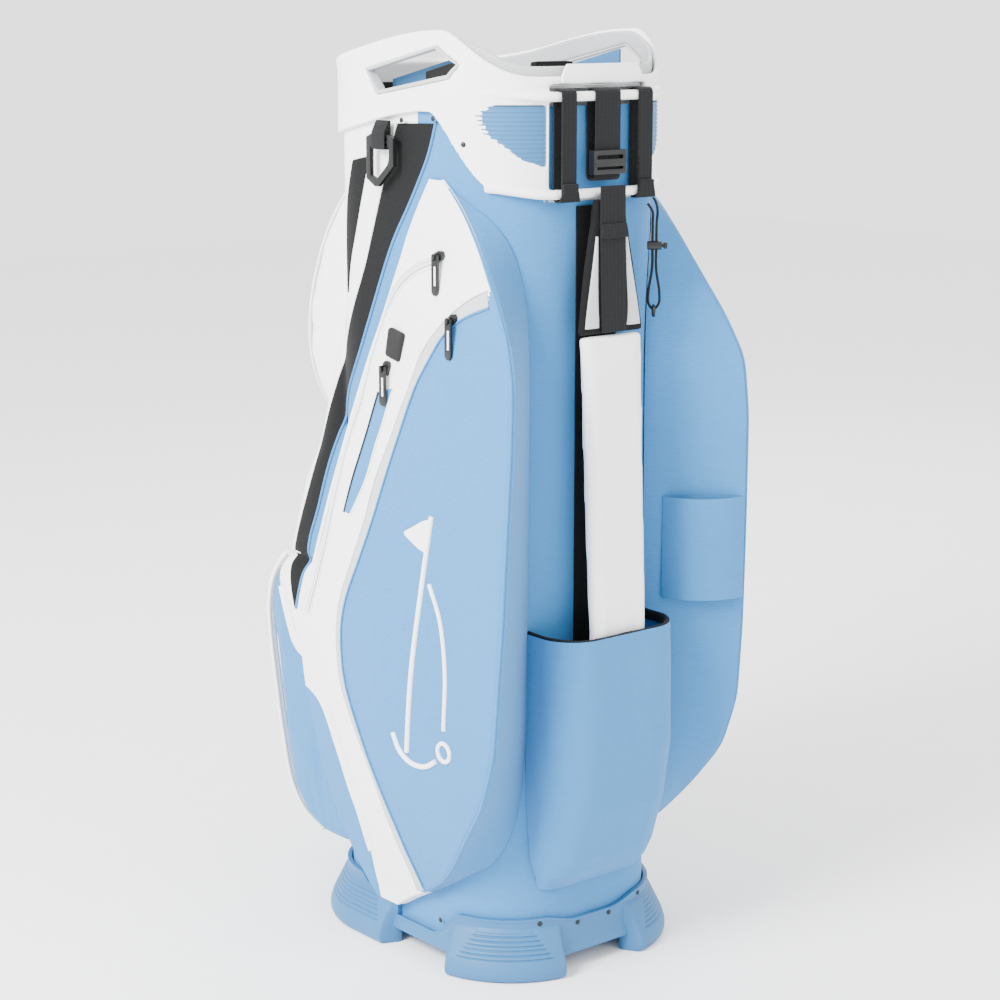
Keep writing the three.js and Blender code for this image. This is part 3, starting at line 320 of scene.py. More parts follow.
# %% [markdown]
# Webbing is nylon woven in thick ribs across its width. The ribs catch the light, so they are
# strong in the bump, and the thread itself is a little glossy. Its colour follows the ribs too:
# painted shade darkens the grooves and the rib tops are painted lighter.

# %% Webbing
def webbing(name, light, dark, rib=2.2):
    material, tree, place = blank(name)
    turns = 2 * math.pi / (rib * MM) / 20
    cross = node(tree, "ShaderNodeTexWave", {"Vector": place, "Scale": turns}, bands_direction="Z")
    along_x = node(tree, "ShaderNodeTexWave", {"Vector": place, "Scale": turns * 0.5}, bands_direction="X")
    fuzz = node(tree, "ShaderNodeTexNoise", {"Vector": place, "Scale": 700.0, "Detail": 2.0})
    weave = node(tree, "ShaderNodeMix", {"Factor": 0.4, 2: cross.outputs["Fac"], 3: along_x.outputs["Fac"]})
    # painted shade: the colour follows the weave's height, darker in the grooves between ribs and lighter on
    # the rib tops
    tint = shade(tree, weave.outputs[0], dark, light)
    height = node(tree, "ShaderNodeMix", {"Factor": 0.3, 2: weave.outputs[0], 3: fuzz.outputs["Fac"]})
    bump = node(tree, "ShaderNodeBump", {"Height": height.outputs[0], "Strength": 0.7, "Distance": 0.0005})
    dull = dullness(tree, fuzz.outputs["Fac"], 0.6, 0.8)
    end(
        tree,
        Base_Color=tint.outputs[2],
        Roughness=dull.outputs[0],
        Normal=bump.outputs[0],
        Specular_IOR_Level=CLOTH_GLOSS,
        Sheen_Weight=0.04,
    )
    return material


WEBBING = webbing("nylon_webbing_black", "#17181a", "#0c0d0e")
CORD_SLEEVE = webbing("braided_cord_black", "#151617", "#0c0d0e", rib=1.2)

# %% [markdown]
# Moulded plastic takes the fine spark-eroded grain of its mould: shallow pits about a third
# of a millimetre across. Handling and sunlight leave broad patches that are a little glossier.

# %% Moulded plastic
def moulded(name, light, dark, rough=0.42, grain=0.25, size=0.6, gloss=0.35):
    material, tree, place = blank(name)
    pits = node(tree, "ShaderNodeTexNoise", {"Vector": place, "Scale": 1 / (size * MM), "Detail": 2.0})
    patches = node(tree, "ShaderNodeTexNoise", {"Vector": place, "Scale": 14.0, "Detail": 3.0})
    tint = shade(tree, patches.outputs["Fac"], dark, light)
    dull = dullness(tree, patches.outputs["Fac"], rough - 0.07, rough + 0.08)
    pitted = {"Height": pits.outputs["Fac"], "Strength": grain, "Distance": 0.0002}
    bump = node(tree, "ShaderNodeBump", pitted)
    end(
        tree,
        Base_Color=tint.outputs[2],
        Roughness=dull.outputs[0],
        Normal=bump.outputs[0],
        Specular_IOR_Level=gloss,
    )
    return material


WHITE_PLASTIC = moulded("moulded_polypropylene_white", "#f8f8f8", "#f0f0f0", rough=0.38)
BLUE_PLASTIC = moulded("moulded_polypropylene_blue", "#306896", "#2a608c", rough=0.5, grain=0.35)
GREY_PLASTIC = moulded("moulded_polypropylene_grey", "#b3b5b7", "#a6a8aa", rough=0.5, grain=0.35)
BLACK_PLASTIC = moulded("moulded_acetal_black", "#111213", "#0b0c0c", rough=0.4)
RUBBER = moulded("moulded_rubber_black", "#111112", "#0a0a0b", rough=0.7, grain=0.6, size=1.2)
BRIGHT_PLASTIC = moulded("moulded_acetal_white", "#f2f3f4", "#e6e7e8", rough=0.3)
print(len(bpy.data.materials), "materials so far")

# %% [markdown]
# The loose cord: an elastic cord that leaves the left webbing loop, runs down through a
# spring lock and a small ring, and comes back up to the collar's edge. It follows the same
# points as its solid.

# %% Loose cord
CORD_X, CORD_Y, STRAND_X, STRAND_Y, CORD_LOW = -57, 165, 1.558, 1.083, 645
CORD_POINTS = [
    (-49, 163.9, 744.5),
    (-53, 166, 737),
    (CORD_X + STRAND_X, CORD_Y - STRAND_Y, 726),
    (CORD_X + STRAND_X, CORD_Y - STRAND_Y, 705),
    (CORD_X + STRAND_X, CORD_Y - STRAND_Y, 684),
    (CORD_X + 4.4, CORD_Y - 3, 660),
    (CORD_X + 4, CORD_Y - 2.7, 650),
    (CORD_X, CORD_Y, CORD_LOW),
    (CORD_X - 4, CORD_Y + 2.7, 650),
    (CORD_X - 4.4, CORD_Y + 3, 660),
    (CORD_X - STRAND_X, CORD_Y + STRAND_Y, 684),
    (CORD_X - STRAND_X, CORD_Y + STRAND_Y, 705),
    (CORD_X - STRAND_X, CORD_Y + STRAND_Y, 726),
    (-63, 162.5, 736),
    (-76, 146, 744),
    (-83, 135.5, 746),
]
CORD_RADIUS = 0.00125
cord_line = curve_through([at(*p) for p in CORD_POINTS], 181)
cord = tube_through("cord", cord_line, CORD_RADIUS)
dress(cord, "bag", CORD_SLEEVE)
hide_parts("loose_cord")

# %% [markdown]
# The floor is a wide pale sheet, and the light is soft: one large lamp over the camera's left
# shoulder, a weaker one from the right, and a pale sky that fills the shadows.

# %% Floor and light
bpy.ops.object.select_all(action="DESELECT")
bpy.ops.mesh.primitive_plane_add(size=12, location=(0, 0, -0.0004))
floor = bpy.context.object
floor.name = "floor"
floor.data.transform(floor.matrix_world)
floor.matrix_world = Matrix.Identity(4)
floor.data.materials.append(moulded("painted_board_pale", "#fbfbfb", "#f7f7f7", rough=0.8, grain=0.05))


def lamp(name, place, size, power):
    data = bpy.data.lights.new(name, "AREA")
    data.shape = "DISK"
    data.size = size
    data.energy = power
    light = bpy.data.objects.new(name, data)
    light.location = place
    light.rotation_euler = (Vector((0, 0.03, 0.45)) - Vector(place)).to_track_quat("-Z", "Y").to_euler()
    bpy.context.scene.collection.objects.link(light)


lamp("key", (2.6, 0.3, 2.2), 1.5, 290)
lamp("fill", (-0.6, 3.0, 1.6), 2.2, 26)
lamp("rim", (-2.2, -1.6, 2.0), 1.6, 30)
world = bpy.data.worlds.new("studio")
bpy.context.scene.world = world
world.use_nodes = True
world.node_tree.nodes["Background"].inputs["Color"].default_value = (1, 1, 1, 1)
world.node_tree.nodes["Background"].inputs["Strength"].default_value = 2.3

# %% [markdown]
# The oval is used again and again, so one function gives the place `run` millimetres round
# it, counted from the middle of the right side towards the strap, and moved `grow` outwards.

# %% The oval
STRAIGHT_Y = HALF_Y - CORNER
STRAIGHT_X = HALF_X - CORNER
ARC = CORNER * math.pi / 2
QUARTER = STRAIGHT_Y + ARC + STRAIGHT_X


def oval(run, grow=0.0):
    quarter, rest = divmod(run % (4 * QUARTER), QUARTER)
    rest = QUARTER - rest if quarter % 2 else rest
    if rest < STRAIGHT_Y:
        x, y = HALF_X + grow, rest
    elif rest < STRAIGHT_Y + ARC:
        turn = (rest - STRAIGHT_Y) / CORNER
        x = STRAIGHT_X + (CORNER + grow) * math.cos(turn)
        y = STRAIGHT_Y + (CORNER + grow) * math.sin(turn)
    else:
        x, y = QUARTER - rest, HALF_Y + grow
    return (x if quarter in (0, 3) else -x), (y if quarter in (0, 1) else -y)


def outside(x, y):
    """How far a place stands outside the oval, in millimetres."""
    over_x, over_y = max(abs(x) - STRAIGHT_X, 0), max(abs(y) - STRAIGHT_Y, 0)
    if over_x and over_y:
        return math.hypot(over_x, over_y) - CORNER
    return max(abs(x) - HALF_X, abs(y) - HALF_Y)


def ease(value, low, high):
    share = min(max((value - low) / (high - low), 0), 1)
    return share * share * (3 - 2 * share)


def mix(a, b, share):
    return a + (b - a) * share


print("once round is", round(4 * QUARTER), "mm")

# %% [markdown]
# The front pockets, the strap's pad and its sleeve start from their solids. A solid is copied,
# remeshed into even squares 2 to 5 mm wide, and blown up a little by a cloth simulation that
# holds the seams still, so each panel crowns between its seams as sewn cloth does. Points may
# not move further than a cap. The side pocket, a sheet of its own, is blown up the same way.

# %% Soft pieces from solids
def copy_of(name, source):
    piece = bpy.data.objects.new(name, NODES[source].data.copy())
    piece.data.name = name
    piece.data.materials.clear()
    bpy.context.scene.collection.objects.link(piece)
    return tidy(piece, outward=False)


def in_mm(point):
    return point.x / MM, (point.y - MIDDLE_Y) / MM, point.z / MM


SETTLING = 20  # frames of cloth simulation


def inflate(piece, held, cap=5.0, pressure=4.0):
    pins = piece.vertex_groups.new(name="seams")
    pins.add([v.index for v in piece.data.vertices if held(*in_mm(v.co))], 1.0, "REPLACE")
    soft = piece.modifiers.new("cloth", "CLOTH")
    soft.settings.quality = 4
    soft.settings.use_pressure = True
    soft.settings.uniform_pressure_force = pressure
    soft.settings.vertex_group_mass = "seams"
    soft.settings.effector_weights.gravity = 0
    soft.collision_settings.use_collision = False
    soft.point_cache.frame_start, soft.point_cache.frame_end = 1, SETTLING
    for step in range(1, SETTLING + 1):
        bpy.context.scene.frame_set(step)
    shape = piece.evaluated_get(bpy.context.evaluated_depsgraph_get()).data
    moved = [v.co.copy() for v in shape.vertices]
    piece.modifiers.remove(soft)
    furthest = 0
    for vertex, place in zip(piece.data.vertices, moved):
        step = place - vertex.co
        furthest = max(furthest, step.length / MM)
        vertex.co += step * min(1, cap * MM / max(step.length, 1e-9))
    bpy.context.scene.frame_set(1)
    print(piece.name, "swelled up to", round(furthest, 1), "mm, kept to", cap)
    return piece


def crease(piece, depth, width, seed, held=None):
    for vertex, normal in [(v, v.normal.copy()) for v in piece.data.vertices]:
        x, y, z = in_mm(vertex.co)
        if held and held(x, y, z):
            continue
        value = noise.noise(Vector((x / width + seed, y / width, z / (width * 1.8))))
        vertex.co += normal * value * depth * MM
    return piece


def soft_copy(name, source, held, voxel=5.0, cap=5.0, depth=0.8, width=55.0, seed=1.0):
    piece = copy_of(name, source)
    modify(piece, "REMESH", mode="VOXEL", voxel_size=voxel * MM)
    modify(piece, "SMOOTH", factor=0.5, iterations=4)
    inflate(piece, held, cap)
    crease(piece, depth, width, seed, held)
    modify(piece, "SUBSURF", levels=1, render_levels=1)
    print(name, len(piece.data.vertices), "points")
    return shade_soft(piece)


# %% [markdown]
# The side pocket is one big bag sewn from two cloths: a blue face and a white yoke above and
# in front of it. Its seams are its front edge, its rear edge, the line between the two
# cloths, and the line where it meets the tube. The table gives the front and rear edges.

# %% Side pocket: its seam lines
POCKET_EDGES = [
    (44, 126, -34, 126, -2),
    (62, 129, -52, 129, 25),
    (82, 131, -66, 131, 66),
    (108, 134, -82, 138, 98),
    (148, 138, -101, 150, 132),
    (195, 142, -114, 157, 168),
    (250, 146, -127, 158, 187),
    (325, 150, -133, 157, 193),
    (375, 146, -120, 155, 196),
    (450, 140, -97, 153, 199),
    (540, 135, -62, 150, 202),
    (595, 131, -40, 146, 199),
    (636, 127, -22, 137, 180),
    (675, 124, -6, 130, 152),
    (714, 121, 11, 124, 124),
    (745, 119.5, 30, 121, 97),
    (768, 118, 47, 118, 66),
]
YOKE_LINE = [
    (212, 712), (166, 670), (136, 648), (100, 616), (57, 566), (16, 513), (-20, 448), (-44, 395),
    (-51, 351), (-46, 292), (-28, 234), (-2, 178), (28, 122), (56, 76), (70, 40),
]
front_edge = [Vector((x, y, z)) for z, x, y, _, _ in POCKET_EDGES]
rear_edge = [Vector((x, y, z)) for z, _, _, x, y in POCKET_EDGES]
yoke_seam = [Vector((y, z)) for y, z in YOKE_LINE]


def gap_to(line, point):
    best = 1e9
    for a, b in zip(line, line[1:]):
        step = b - a
        share = min(max((point - a).dot(step) / step.length_squared, 0), 1)
        best = min(best, (point - a - step * share).length)
    return best


def side_held(x, y, z):
    x = abs(x)
    if outside(x, y) < 5 or z < 66:
        return True
    place = Vector((x, y, z))
    if gap_to(front_edge, place) < 6 or gap_to(rear_edge, place) < 6:
        return True
    return gap_to(yoke_seam, Vector((y, z))) < 5


def edge_at(line, z):
    for a, b in zip(line, line[1:]):
        if z <= b.z:
            return a.lerp(b, min(max((z - a.z) / (b.z - a.z), 0), 1))
    return line[-1]


def line_y(line, z):
    for (y1, z1), (y0, z0) in zip(line, line[1:]):
        if z >= z0:
            return mix(y0, y1, min((z - z0) / (z1 - z0), 1))
    return line[-1][0]


# %% [markdown]
# The pocket's cloth is one sheet that starts at the tube, turns the front corner, crosses the
# face, turns the rear corner and goes back to the tube. Air pressure in a short cloth run
# fills it between its seams. White cloth covers it between the welt in front and the seam.

# %% Side pocket: the cloth on each side
POCKET_LOW, POCKET_HIGH, POCKET_ROWS = 44.0, 768.0, 200
POCKET_BULGE = 5.0
FRONT_WELT = [
    (-238, 354), (-220, 328), (-199, 301), (-182, 272), (-140, 255), (-95, 239), (-70, 198), (-53, 159),
    (-41, 134), (-30, 95), (-28, 40),
]
BAND_UPPER = [
    (149, 675), (134, 669), (109, 654), (86, 635), (65, 611), (51, 583), (20, 522), (-3, 479), (-18, 438),
    (-37, 395), (-54, 352), (-58, 311), (-54, 270), (-26, 215), (-3, 178), (15, 141), (32, 103), (40, 72),
]
BAND_LOWER = [
    (154, 660), (142, 656), (116, 645), (95, 629), (76, 603), (58, 577), (33, 524), (14, 483), (-4, 441),
    (-24, 398), (-44, 354), (-50, 312), (-46, 272), (-20, 216), (3, 179), (26, 142), (42, 104), (51, 74),
]
BAND_MIDDLE = [((y1 + y0) / 2, (z1 + z0) / 2) for (y1, z1), (y0, z0) in zip(BAND_UPPER, BAND_LOWER)]


def pocket_rows(line):
    heights = [mix(POCKET_LOW, POCKET_HIGH, i / POCKET_ROWS) for i in range(POCKET_ROWS + 1)]
    rows = [edge_at(line, z) for z in heights]
    for _ in range(14):
        rows = [rows[0], *[(a + b * 2 + c) / 4 for a, b, c in zip(rows, rows[1:], rows[2:])], rows[-1]]
    return rows


def clear_of_tube(x, y, least=0.6):
    short = least - outside(x, y)
    if short <= 0:
        return x, y
    away = Vector((max(x - STRAIGHT_X, 0.01), max(y - STRAIGHT_Y, 0) + min(y + STRAIGHT_Y, 0))).normalized()
    return x + away.x * short, y + away.y * short


def to_tube(corner, root):
    low, high = 0.0, 1.0
    for _ in range(16):
        middle = (low + high) / 2
        spot = corner.lerp(root, middle)
        if outside(spot.x, spot.y) > 0.6:
            low = middle
        else:
            high = middle
    return corner.lerp(root, low)


front_rows, rear_rows = pocket_rows(front_edge), pocket_rows(rear_edge)
FRONT_TURN = 0.06  # the share of the face that the rounded front corner takes
PARTS = [0.0, 0.12, 0.2, 0.74, 0.77, 1.0]  # front wall, corner, face, corner, rear wall


def pocket_place(u, v):
    row = round(v * POCKET_ROWS)
    front, rear = front_rows[row], rear_rows[row]
    z = front.z
    front_wall = Vector((front.x - 20 * ease(z, 300, 420), front.y + 3, z))
    rear_wall = Vector((rear.x - 4, rear.y, z))
    part = max(i for i in range(5) if u >= PARTS[i] - 1e-6)
    share = min((u - PARTS[part]) / (PARTS[part + 1] - PARTS[part]), 1)
    s = (0.0, FRONT_TURN * share, mix(FRONT_TURN, 0.98, share), mix(0.98, 1.0, share), 1.0)[part]
    full = ease(z, 44, 120) * (1 - ease(z, 600, 760))
    spot = front.lerp(rear, s)
    spot.x += POCKET_BULGE * 4 * s * (1 - s) * full
    if part == 0:
        spot = to_tube(front_wall, Vector((60, front.y + 14, z))).lerp(front_wall, share)
    elif part == 1:
        spot = Vector((mix(front_wall.x, spot.x, math.sin(share * math.pi / 2)), spot.y, z))
    elif part == 3:
        spot = rear_wall.lerp(spot, math.cos(share * math.pi / 2))
    elif part == 4:
        spot = rear_wall.lerp(to_tube(rear_wall, Vector((62, min(rear.y + 24, 126), z))), share)
    x, y = clear_of_tube(spot.x, spot.y)
    return at(x, y, z)


def white_here(face):
    x, y, z = in_mm(face.center)
    behind = face.normal.y > 0.55 and abs(x) < edge_at(rear_edge, z).x - 1
    return line_y(FRONT_WELT, z) < y < line_y(BAND_MIDDLE, z) and not behind


right_pocket = sheet_of("side_pocket_cloth_right", 100, POCKET_ROWS, pocket_place)
inflate(right_pocket, side_held, cap=3.5, pressure=2.5)
crease(right_pocket, 0.7, 60.0, 3.0, side_held)
face_out(right_pocket, "x")
modify(right_pocket, "SOLIDIFY", thickness=0.0014, offset=-1)
smooth(right_pocket, 50)
left_pocket = mirrored(right_pocket, "side_pocket_cloth_left")
for piece, side in ((right_pocket, "right"), (left_pocket, "left")):
    dress(piece, "bag", BLUE_CLOTH)
    piece.data.materials.append(WHITE_CLOTH)
    for face in piece.data.polygons:
        face.material_index = 1 if white_here(face) else 0
    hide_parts(f"side_pocket_{side}", f"yoke_{side}")
print("side pocket", len(right_pocket.data.polygons), "faces")

# %% [markdown]
# The two front pockets: a white box-shaped one that keeps drinks cold, high on the front, and
# the large blue ball pocket under it. They are held where they meet the tube and its base.
# Between them the white front flares out from the tube to meet the ball pocket.

# %% Front pockets
SEAM = 5  # how close to the tube a pocket's cloth is sewn down


def front_held(x, y, z):
    return outside(x, y) < SEAM


cooler = soft_copy("cooler_cloth", "cooler_pocket", front_held, voxel=4.0, cap=5.0, seed=11.0)
dress(cooler, "bag", WHITE_CLOTH)
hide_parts("cooler_pocket")


def ball_held(x, y, z):
    near_side_pocket = abs(x) > 96 and y > -135
    return outside(x, y) < SEAM or near_side_pocket or z < 76


ball = soft_copy("ball_cloth", "ball_pocket", ball_held, voxel=5.0, cap=5.0, seed=15.0)
dress(ball, "bag", BLUE_CLOTH)
ball.data.materials.append(WHITE_CLOTH)
for face in ball.data.polygons:
    x, y, z = in_mm(face.center)
    face.material_index = 1 if line_y(FRONT_WELT, z) < y and z > 200 else 0
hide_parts("ball_pocket")


def flare_held(x, y, z):
    near_side_pocket = abs(x) > 98 and y > -112
    return outside(x, y) < 4 or near_side_pocket or z < 370


flare = soft_copy("flare_cloth", "front_flare", flare_held, voxel=4.0, cap=2.0, depth=0.5, seed=18.0)
dress(flare, "bag", WHITE_CLOTH)
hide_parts("front_flare")

# %% [markdown]
# Over the tube goes a glued cloth: white in front, blue on the sides and the rear. The change
# of cloth runs down under the long black stripe, so that stripe hides the join.

# %% Tube cloth
TUBE_LOW = 24.4
BASE_EDGE_Z = 60
STRIPE_MIDDLE = [
    (31, 836), (25, 820), (13, 792), (-8, 750), (-45, 675), (-66, 630), (-90, 585), (-115, 546),
    (-139, 497), (-161, 453), (-185, 385), (-195, 350),
]


def tube_place(u, v):
    run = u * 4 * QUARTER
    z = mix(TUBE_LOW, TUBE_TOP, v)
    x, y = oval(run)
    ripple = 0.35 * noise.noise(Vector((x / 45, y / 45, z / 80)))
    x, y = oval(run, ripple - 0.35)
    return at(x, y, z)


tube = sheet_of("tube_cloth", 240, 130, tube_place)
modify(tube, "SOLIDIFY", thickness=0.0024, offset=-1)
smooth(tube, 40)
dress(tube, "bag", BLUE_CLOTH)
tube.data.materials.append(WHITE_CLOTH)
for face in tube.data.polygons:
    x, y, z = in_mm(face.center)
    face.material_index = 1 if y < line_y(STRIPE_MIDDLE, z) and z > BASE_EDGE_Z else 0
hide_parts("tube_panel_front", "tube_panel_right", "tube_panel_left", "tube_panel_rear")
flare.data.materials.append(BLUE_CLOTH)
for face in flare.data.polygons:
    x, y, z = in_mm(face.center)
    face.material_index = 1 if y > line_y(STRIPE_MIDDLE, z) else 0
print("tube cloth", len(tube.data.polygons), "faces")

# %% [markdown]
# Prisms cut windows and trim edges. Each starts as a filled outline and is extruded.

# %% Prisms and joins
def prism(name, points, start, step):
    bpy.ops.object.select_all(action="DESELECT")
    bpy.ops.mesh.primitive_circle_add(vertices=len(points), fill_type="NGON")
    piece = bpy.context.object
    piece.name = piece.data.name = name
    for vertex, place in zip(piece.data.vertices, points):
        vertex.co = start(*place)
    bpy.ops.object.mode_set(mode="EDIT")
    bpy.ops.mesh.select_all(action="SELECT")
    bpy.ops.mesh.extrude_region_move(TRANSFORM_OT_translate={"value": step})
    bpy.ops.mesh.select_all(action="SELECT")
    bpy.ops.mesh.normals_make_consistent(inside=False)
    bpy.ops.object.mode_set(mode="OBJECT")
    return piece


def combine(piece, tools, operation):
    for tool in tools:
        modify(piece, "BOOLEAN", operation=operation, object=tool, solver="EXACT")
    return piece


def moulding(piece, voxel):
    modify(piece, "REMESH", mode="VOXEL", voxel_size=voxel * MM)
    modify(piece, "SMOOTH", factor=0.5, iterations=2)
    return shade_soft(piece)


# %% [markdown]
# The collar is one white moulding wrapped round the tube's mouth: low in front, highest over
# the side grips, low again at the rear, where two rails make the handle. Its lower edge
# arches up on each side. It is drawn as a wrapped strip with a bead along both edges, given
# its wall, cut, joined to its rails, and remeshed so that every edge is softly rounded.

# %% Collar: its edges and its grip windows
PEAK_Y, ARCH_Y = 66, 48                      # where the top and the lower edge are highest
TOP_FRONT, TOP_PEAK, TOP_REAR = 872, 904, 863
LOW_FRONT, LOW_ARCH, LOW_REAR = 802, 830, 757
RAILS = (845, 757)


def collar_top(y):
    if y < PEAK_Y:
        return mix(TOP_FRONT, TOP_PEAK, ease(y, -HALF_Y, PEAK_Y) ** 0.8)
    return mix(TOP_PEAK, TOP_REAR, ease(y, PEAK_Y, HALF_Y - 6))


def collar_low(y):
    if y < ARCH_Y:
        return mix(LOW_FRONT, LOW_ARCH, ease(y, -HALF_Y, ARCH_Y))
    return mix(LOW_ARCH, LOW_REAR, ease(y, ARCH_Y, HALF_Y - 20))


GRIP_SLOPE = math.tan(math.radians(12.5))


def grip_window(grow):
    def rise(y):
        return 857 + GRIP_SLOPE * y

    return [
        (-26 - grow, rise(-26) - 4 - grow),
        (76 + grow * 0.4, rise(76) - 10 - grow),
        (87 + grow, rise(87) - 3),
        (60 + grow * 0.6, rise(60) + 17 + grow * 0.6),
        (-43 - grow, rise(-43) + 18 + grow * 0.5),
    ]


def inlay_outline(side, grow):
    return [
        (side * (107 + grow), 829),
        (side * (100 + grow), 837 + grow),
        (side * (61 - grow), 837 + grow),
        (side * (61 - grow), 782 - grow),
        (side * (80 + grow), 789 - grow),
        (side * (103 + grow * 0.8), 812 - grow),
    ]


# %% Collar: the moulding
def collar_place(u, v):
    run = u * 4 * QUARTER
    _, y = oval(run)
    low, top = collar_low(y), collar_top(y)
    z = mix(low, top, v)
    bead = 0.9 * (1 - ease(z - low, 3.0, 4.6)) + 0.9 * (1 - ease(top - z, 8.0, 9.6))
    x, y = oval(run, 5.2 + bead)
    return at(x, y, z)


def rail_line(height):
    line = []
    for step in range(61):
        run = mix(112, 2 * QUARTER - 112, step / 60)
        emerge = ease(min(run, 2 * QUARTER - run), 112, 172)
        x, y = oval(run, mix(1.5, 9.6, emerge))
        line.append(at(x, y, mix(height + (3 if height > 800 else 6), height, emerge)))
    return line


collar = sheet_of("collar", 320, 64, collar_place)
modify(collar, "SOLIDIFY", thickness=0.005, offset=-1)
window = prism("window", grip_window(3.6), lambda y, z: at(-300, y, z), (0.6, 0, 0))
opening = prism(
    "opening",
    [(-58, 746), (58, 746), (58, 856), (-58, 856)],
    lambda x, z: at(x, 116, z),
    (0, 0.1, 0),
)
beds = [
    prism(f"bed_{side}", inlay_outline(side, 0.2), lambda x, z: at(x, 80, z), (0, 0.15, 0))
    for side in (1, -1)
]
combine(collar, [window, opening, *beds], "DIFFERENCE")
rails = [tube_through(f"rail_{height}", rail_line(height), 0.0047, 4) for height in RAILS]
combine(collar, rails, "UNION")
moulding(collar, 1.6)
dress(collar, "bag", WHITE_PLASTIC)
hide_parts("collar_shell")
print("collar", len(collar.data.polygons), "faces")

# %% [markdown]
# Behind the white collar stands a grey liner. It lines the mouth all round and shows above the
# collar only at the rear.

# %% Liner
def liner_place(u, v):
    run = u * 4 * QUARTER
    x, y = oval(run, -0.4)
    top = collar_top(y) + mix(-2.5, 9, ease(y, PEAK_Y + 12, PEAK_Y + 50))
    return at(x, y, mix(TUBE_TOP + 0.4, top, v))


liner = sheet_of("liner", 320, 24, liner_place)
modify(liner, "SOLIDIFY", thickness=0.0036, offset=-1)
room_face = [(-60.9, 749), (60.9, 749), (60.9, 855), (-60.9, 855)]
room = prism("room", room_face, lambda x, z: at(x, 123, z), (0, 0.1, 0))
combine(liner, [window, room], "DIFFERENCE")
moulding(liner, 1.5)
dress(liner, "bag", GREY_PLASTIC)
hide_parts("collar_liner")
for tool in (window, opening, room, *rails, *beds):
    bpy.data.objects.remove(tool, do_unlink=True)

# %% [markdown]
# A ribbed blue inlay sits in each rear corner of the collar. Its ribs are real ridges 4 mm
# apart, so it is a wrapped strip with a wavy face, whose rows begin at its slanted outer edge.

# %% Ribbed inlays
RIB_PITCH = 4.0
INLAY_INNER_X = 61.2
INLAY_OUTER = [(100, 836.6), (106.6, 829), (102.6, 812), (80, 789.4), (64, 783.4)]  # x at each height


def inlay_place(side):
    def place(u, v):
        z = mix(INLAY_OUTER[-1][1], INLAY_OUTER[0][1], v)
        x = mix(line_y(INLAY_OUTER, z), INLAY_INNER_X, u)
        run = STRAIGHT_Y + CORNER * math.acos((x - STRAIGHT_X) / CORNER)
        ridge = 0.55 * max(math.cos(2 * math.pi * z / RIB_PITCH), -0.3)
        x, y = oval(run if side > 0 else 2 * QUARTER - run, 4.9 + ridge)
        return at(x, y, z)
    return place


for side, end_name in ((1, "right"), (-1, "left")):
    inlay = sheet_of(f"inlay_{end_name}", 40, 128, inlay_place(side))
    modify(inlay, "SOLIDIFY", thickness=0.0022, offset=-1)
    smooth(tidy(inlay), 40)
    dress(inlay, "bag", BLUE_PLASTIC)
    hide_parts(f"ribbed_inlay_{end_name}")
    print(inlay.name, len(inlay.data.polygons), "faces")

# %% [markdown]
# The base is a blue moulding: a skirt whose top edge waves up over the feet, a floor, and four
# corner feet that flare outwards. Each foot carries six shallow grooves on a panel that gets
# narrower towards the top, over a smooth band.

# %% Base: skirt and floor
SKIRT_LOW, SKIRT_TOP, FLOOR_Z = 17, 58, 22
SIDE_DIP, END_DIP = 28, 8  # how far the top edge comes down between the feet


def base_top(x, y):
    side = 1 - ease(abs(y - 8), 42, 80)
    end = (1 - ease(abs(x), 20, 60)) if abs(y) > HALF_Y - 20 else 0
    return SKIRT_TOP - SIDE_DIP * side - END_DIP * end


def skirt_place(u, v):
    run = u * 4 * QUARTER
    x, y = oval(run)
    z = mix(SKIRT_LOW, base_top(x, y), v)
    flare = 4.6 * (1 - ease(z, SKIRT_LOW, 34)) + 0.8 * (1 - ease(base_top(x, y) - z, 2.0, 3.4))
    x, y = oval(run, 5.0 + flare)
    return at(x, y, z)


skirt = sheet_of("base_skirt", 320, 30, skirt_place)
modify(skirt, "SOLIDIFY", thickness=0.0045, offset=-1)
modify(skirt, "BEVEL", width=0.0008, segments=2, limit_method="ANGLE", angle_limit=math.radians(50))
smooth(skirt, 40)
dress(skirt, "bag", BLUE_PLASTIC)
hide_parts("base_shell")


def floor_place(u, v):
    x, y = oval(u * 4 * QUARTER, 1)
    share = max(v, 0.001)
    return at(x * share, y * share, FLOOR_Z)


base_floor = sheet_of("base_floor", 120, 8, floor_place)
modify(base_floor, "SOLIDIFY", thickness=0.0038, offset=0)
dress(base_floor, "bag", BLUE_PLASTIC)

# %% Base: feet
FOOT_PROFILE = [(0.4, 0), (19.4, 0), (22.4, 1.4), (24.0, 5), (24.2, 10), (22.6, 16)]
GROOVES = 6
groove_rows = [20 + i * 0.6 for i in range(44)]
for height in groove_rows:
    FOOT_PROFILE.append((mix(21.6, 7.8, (height - 19) / 28), height))
FOOT_PROFILE += [(6.0, 48.4), (4.6, 49.6), (0.4, 49.6), (0.4, 25), (0.4, 0)]


def foot_place(first, last):
    length = last - first

    def place(u, v):
        run = mix(first, last, u)
        row = v * (len(FOOT_PROFILE) - 1)
        index = min(int(row + 1e-6), len(FOOT_PROFILE) - 2)
        (g0, z0), (g1, z1) = FOOT_PROFILE[index:index + 2]
        grow, z = mix(g0, g1, row - index), mix(z0, z1, row - index)
        inset = min(u, 1 - u) * length
        grow = mix(min(grow, 5.2), grow, ease(inset, -0.5, 7))
        margin = 13 + (z - 20) * 0.55
        if 21 < z < 46 and inset > margin and grow > 5:
            wave = math.cos(2 * math.pi * (z - 22) / (24 / GROOVES))
            grow -= 1.5 * max(wave, 0) ** 0.6 * ease(inset, margin, margin + 3)
        x, y = oval(run, grow)
        return at(x, y, z)
    return place


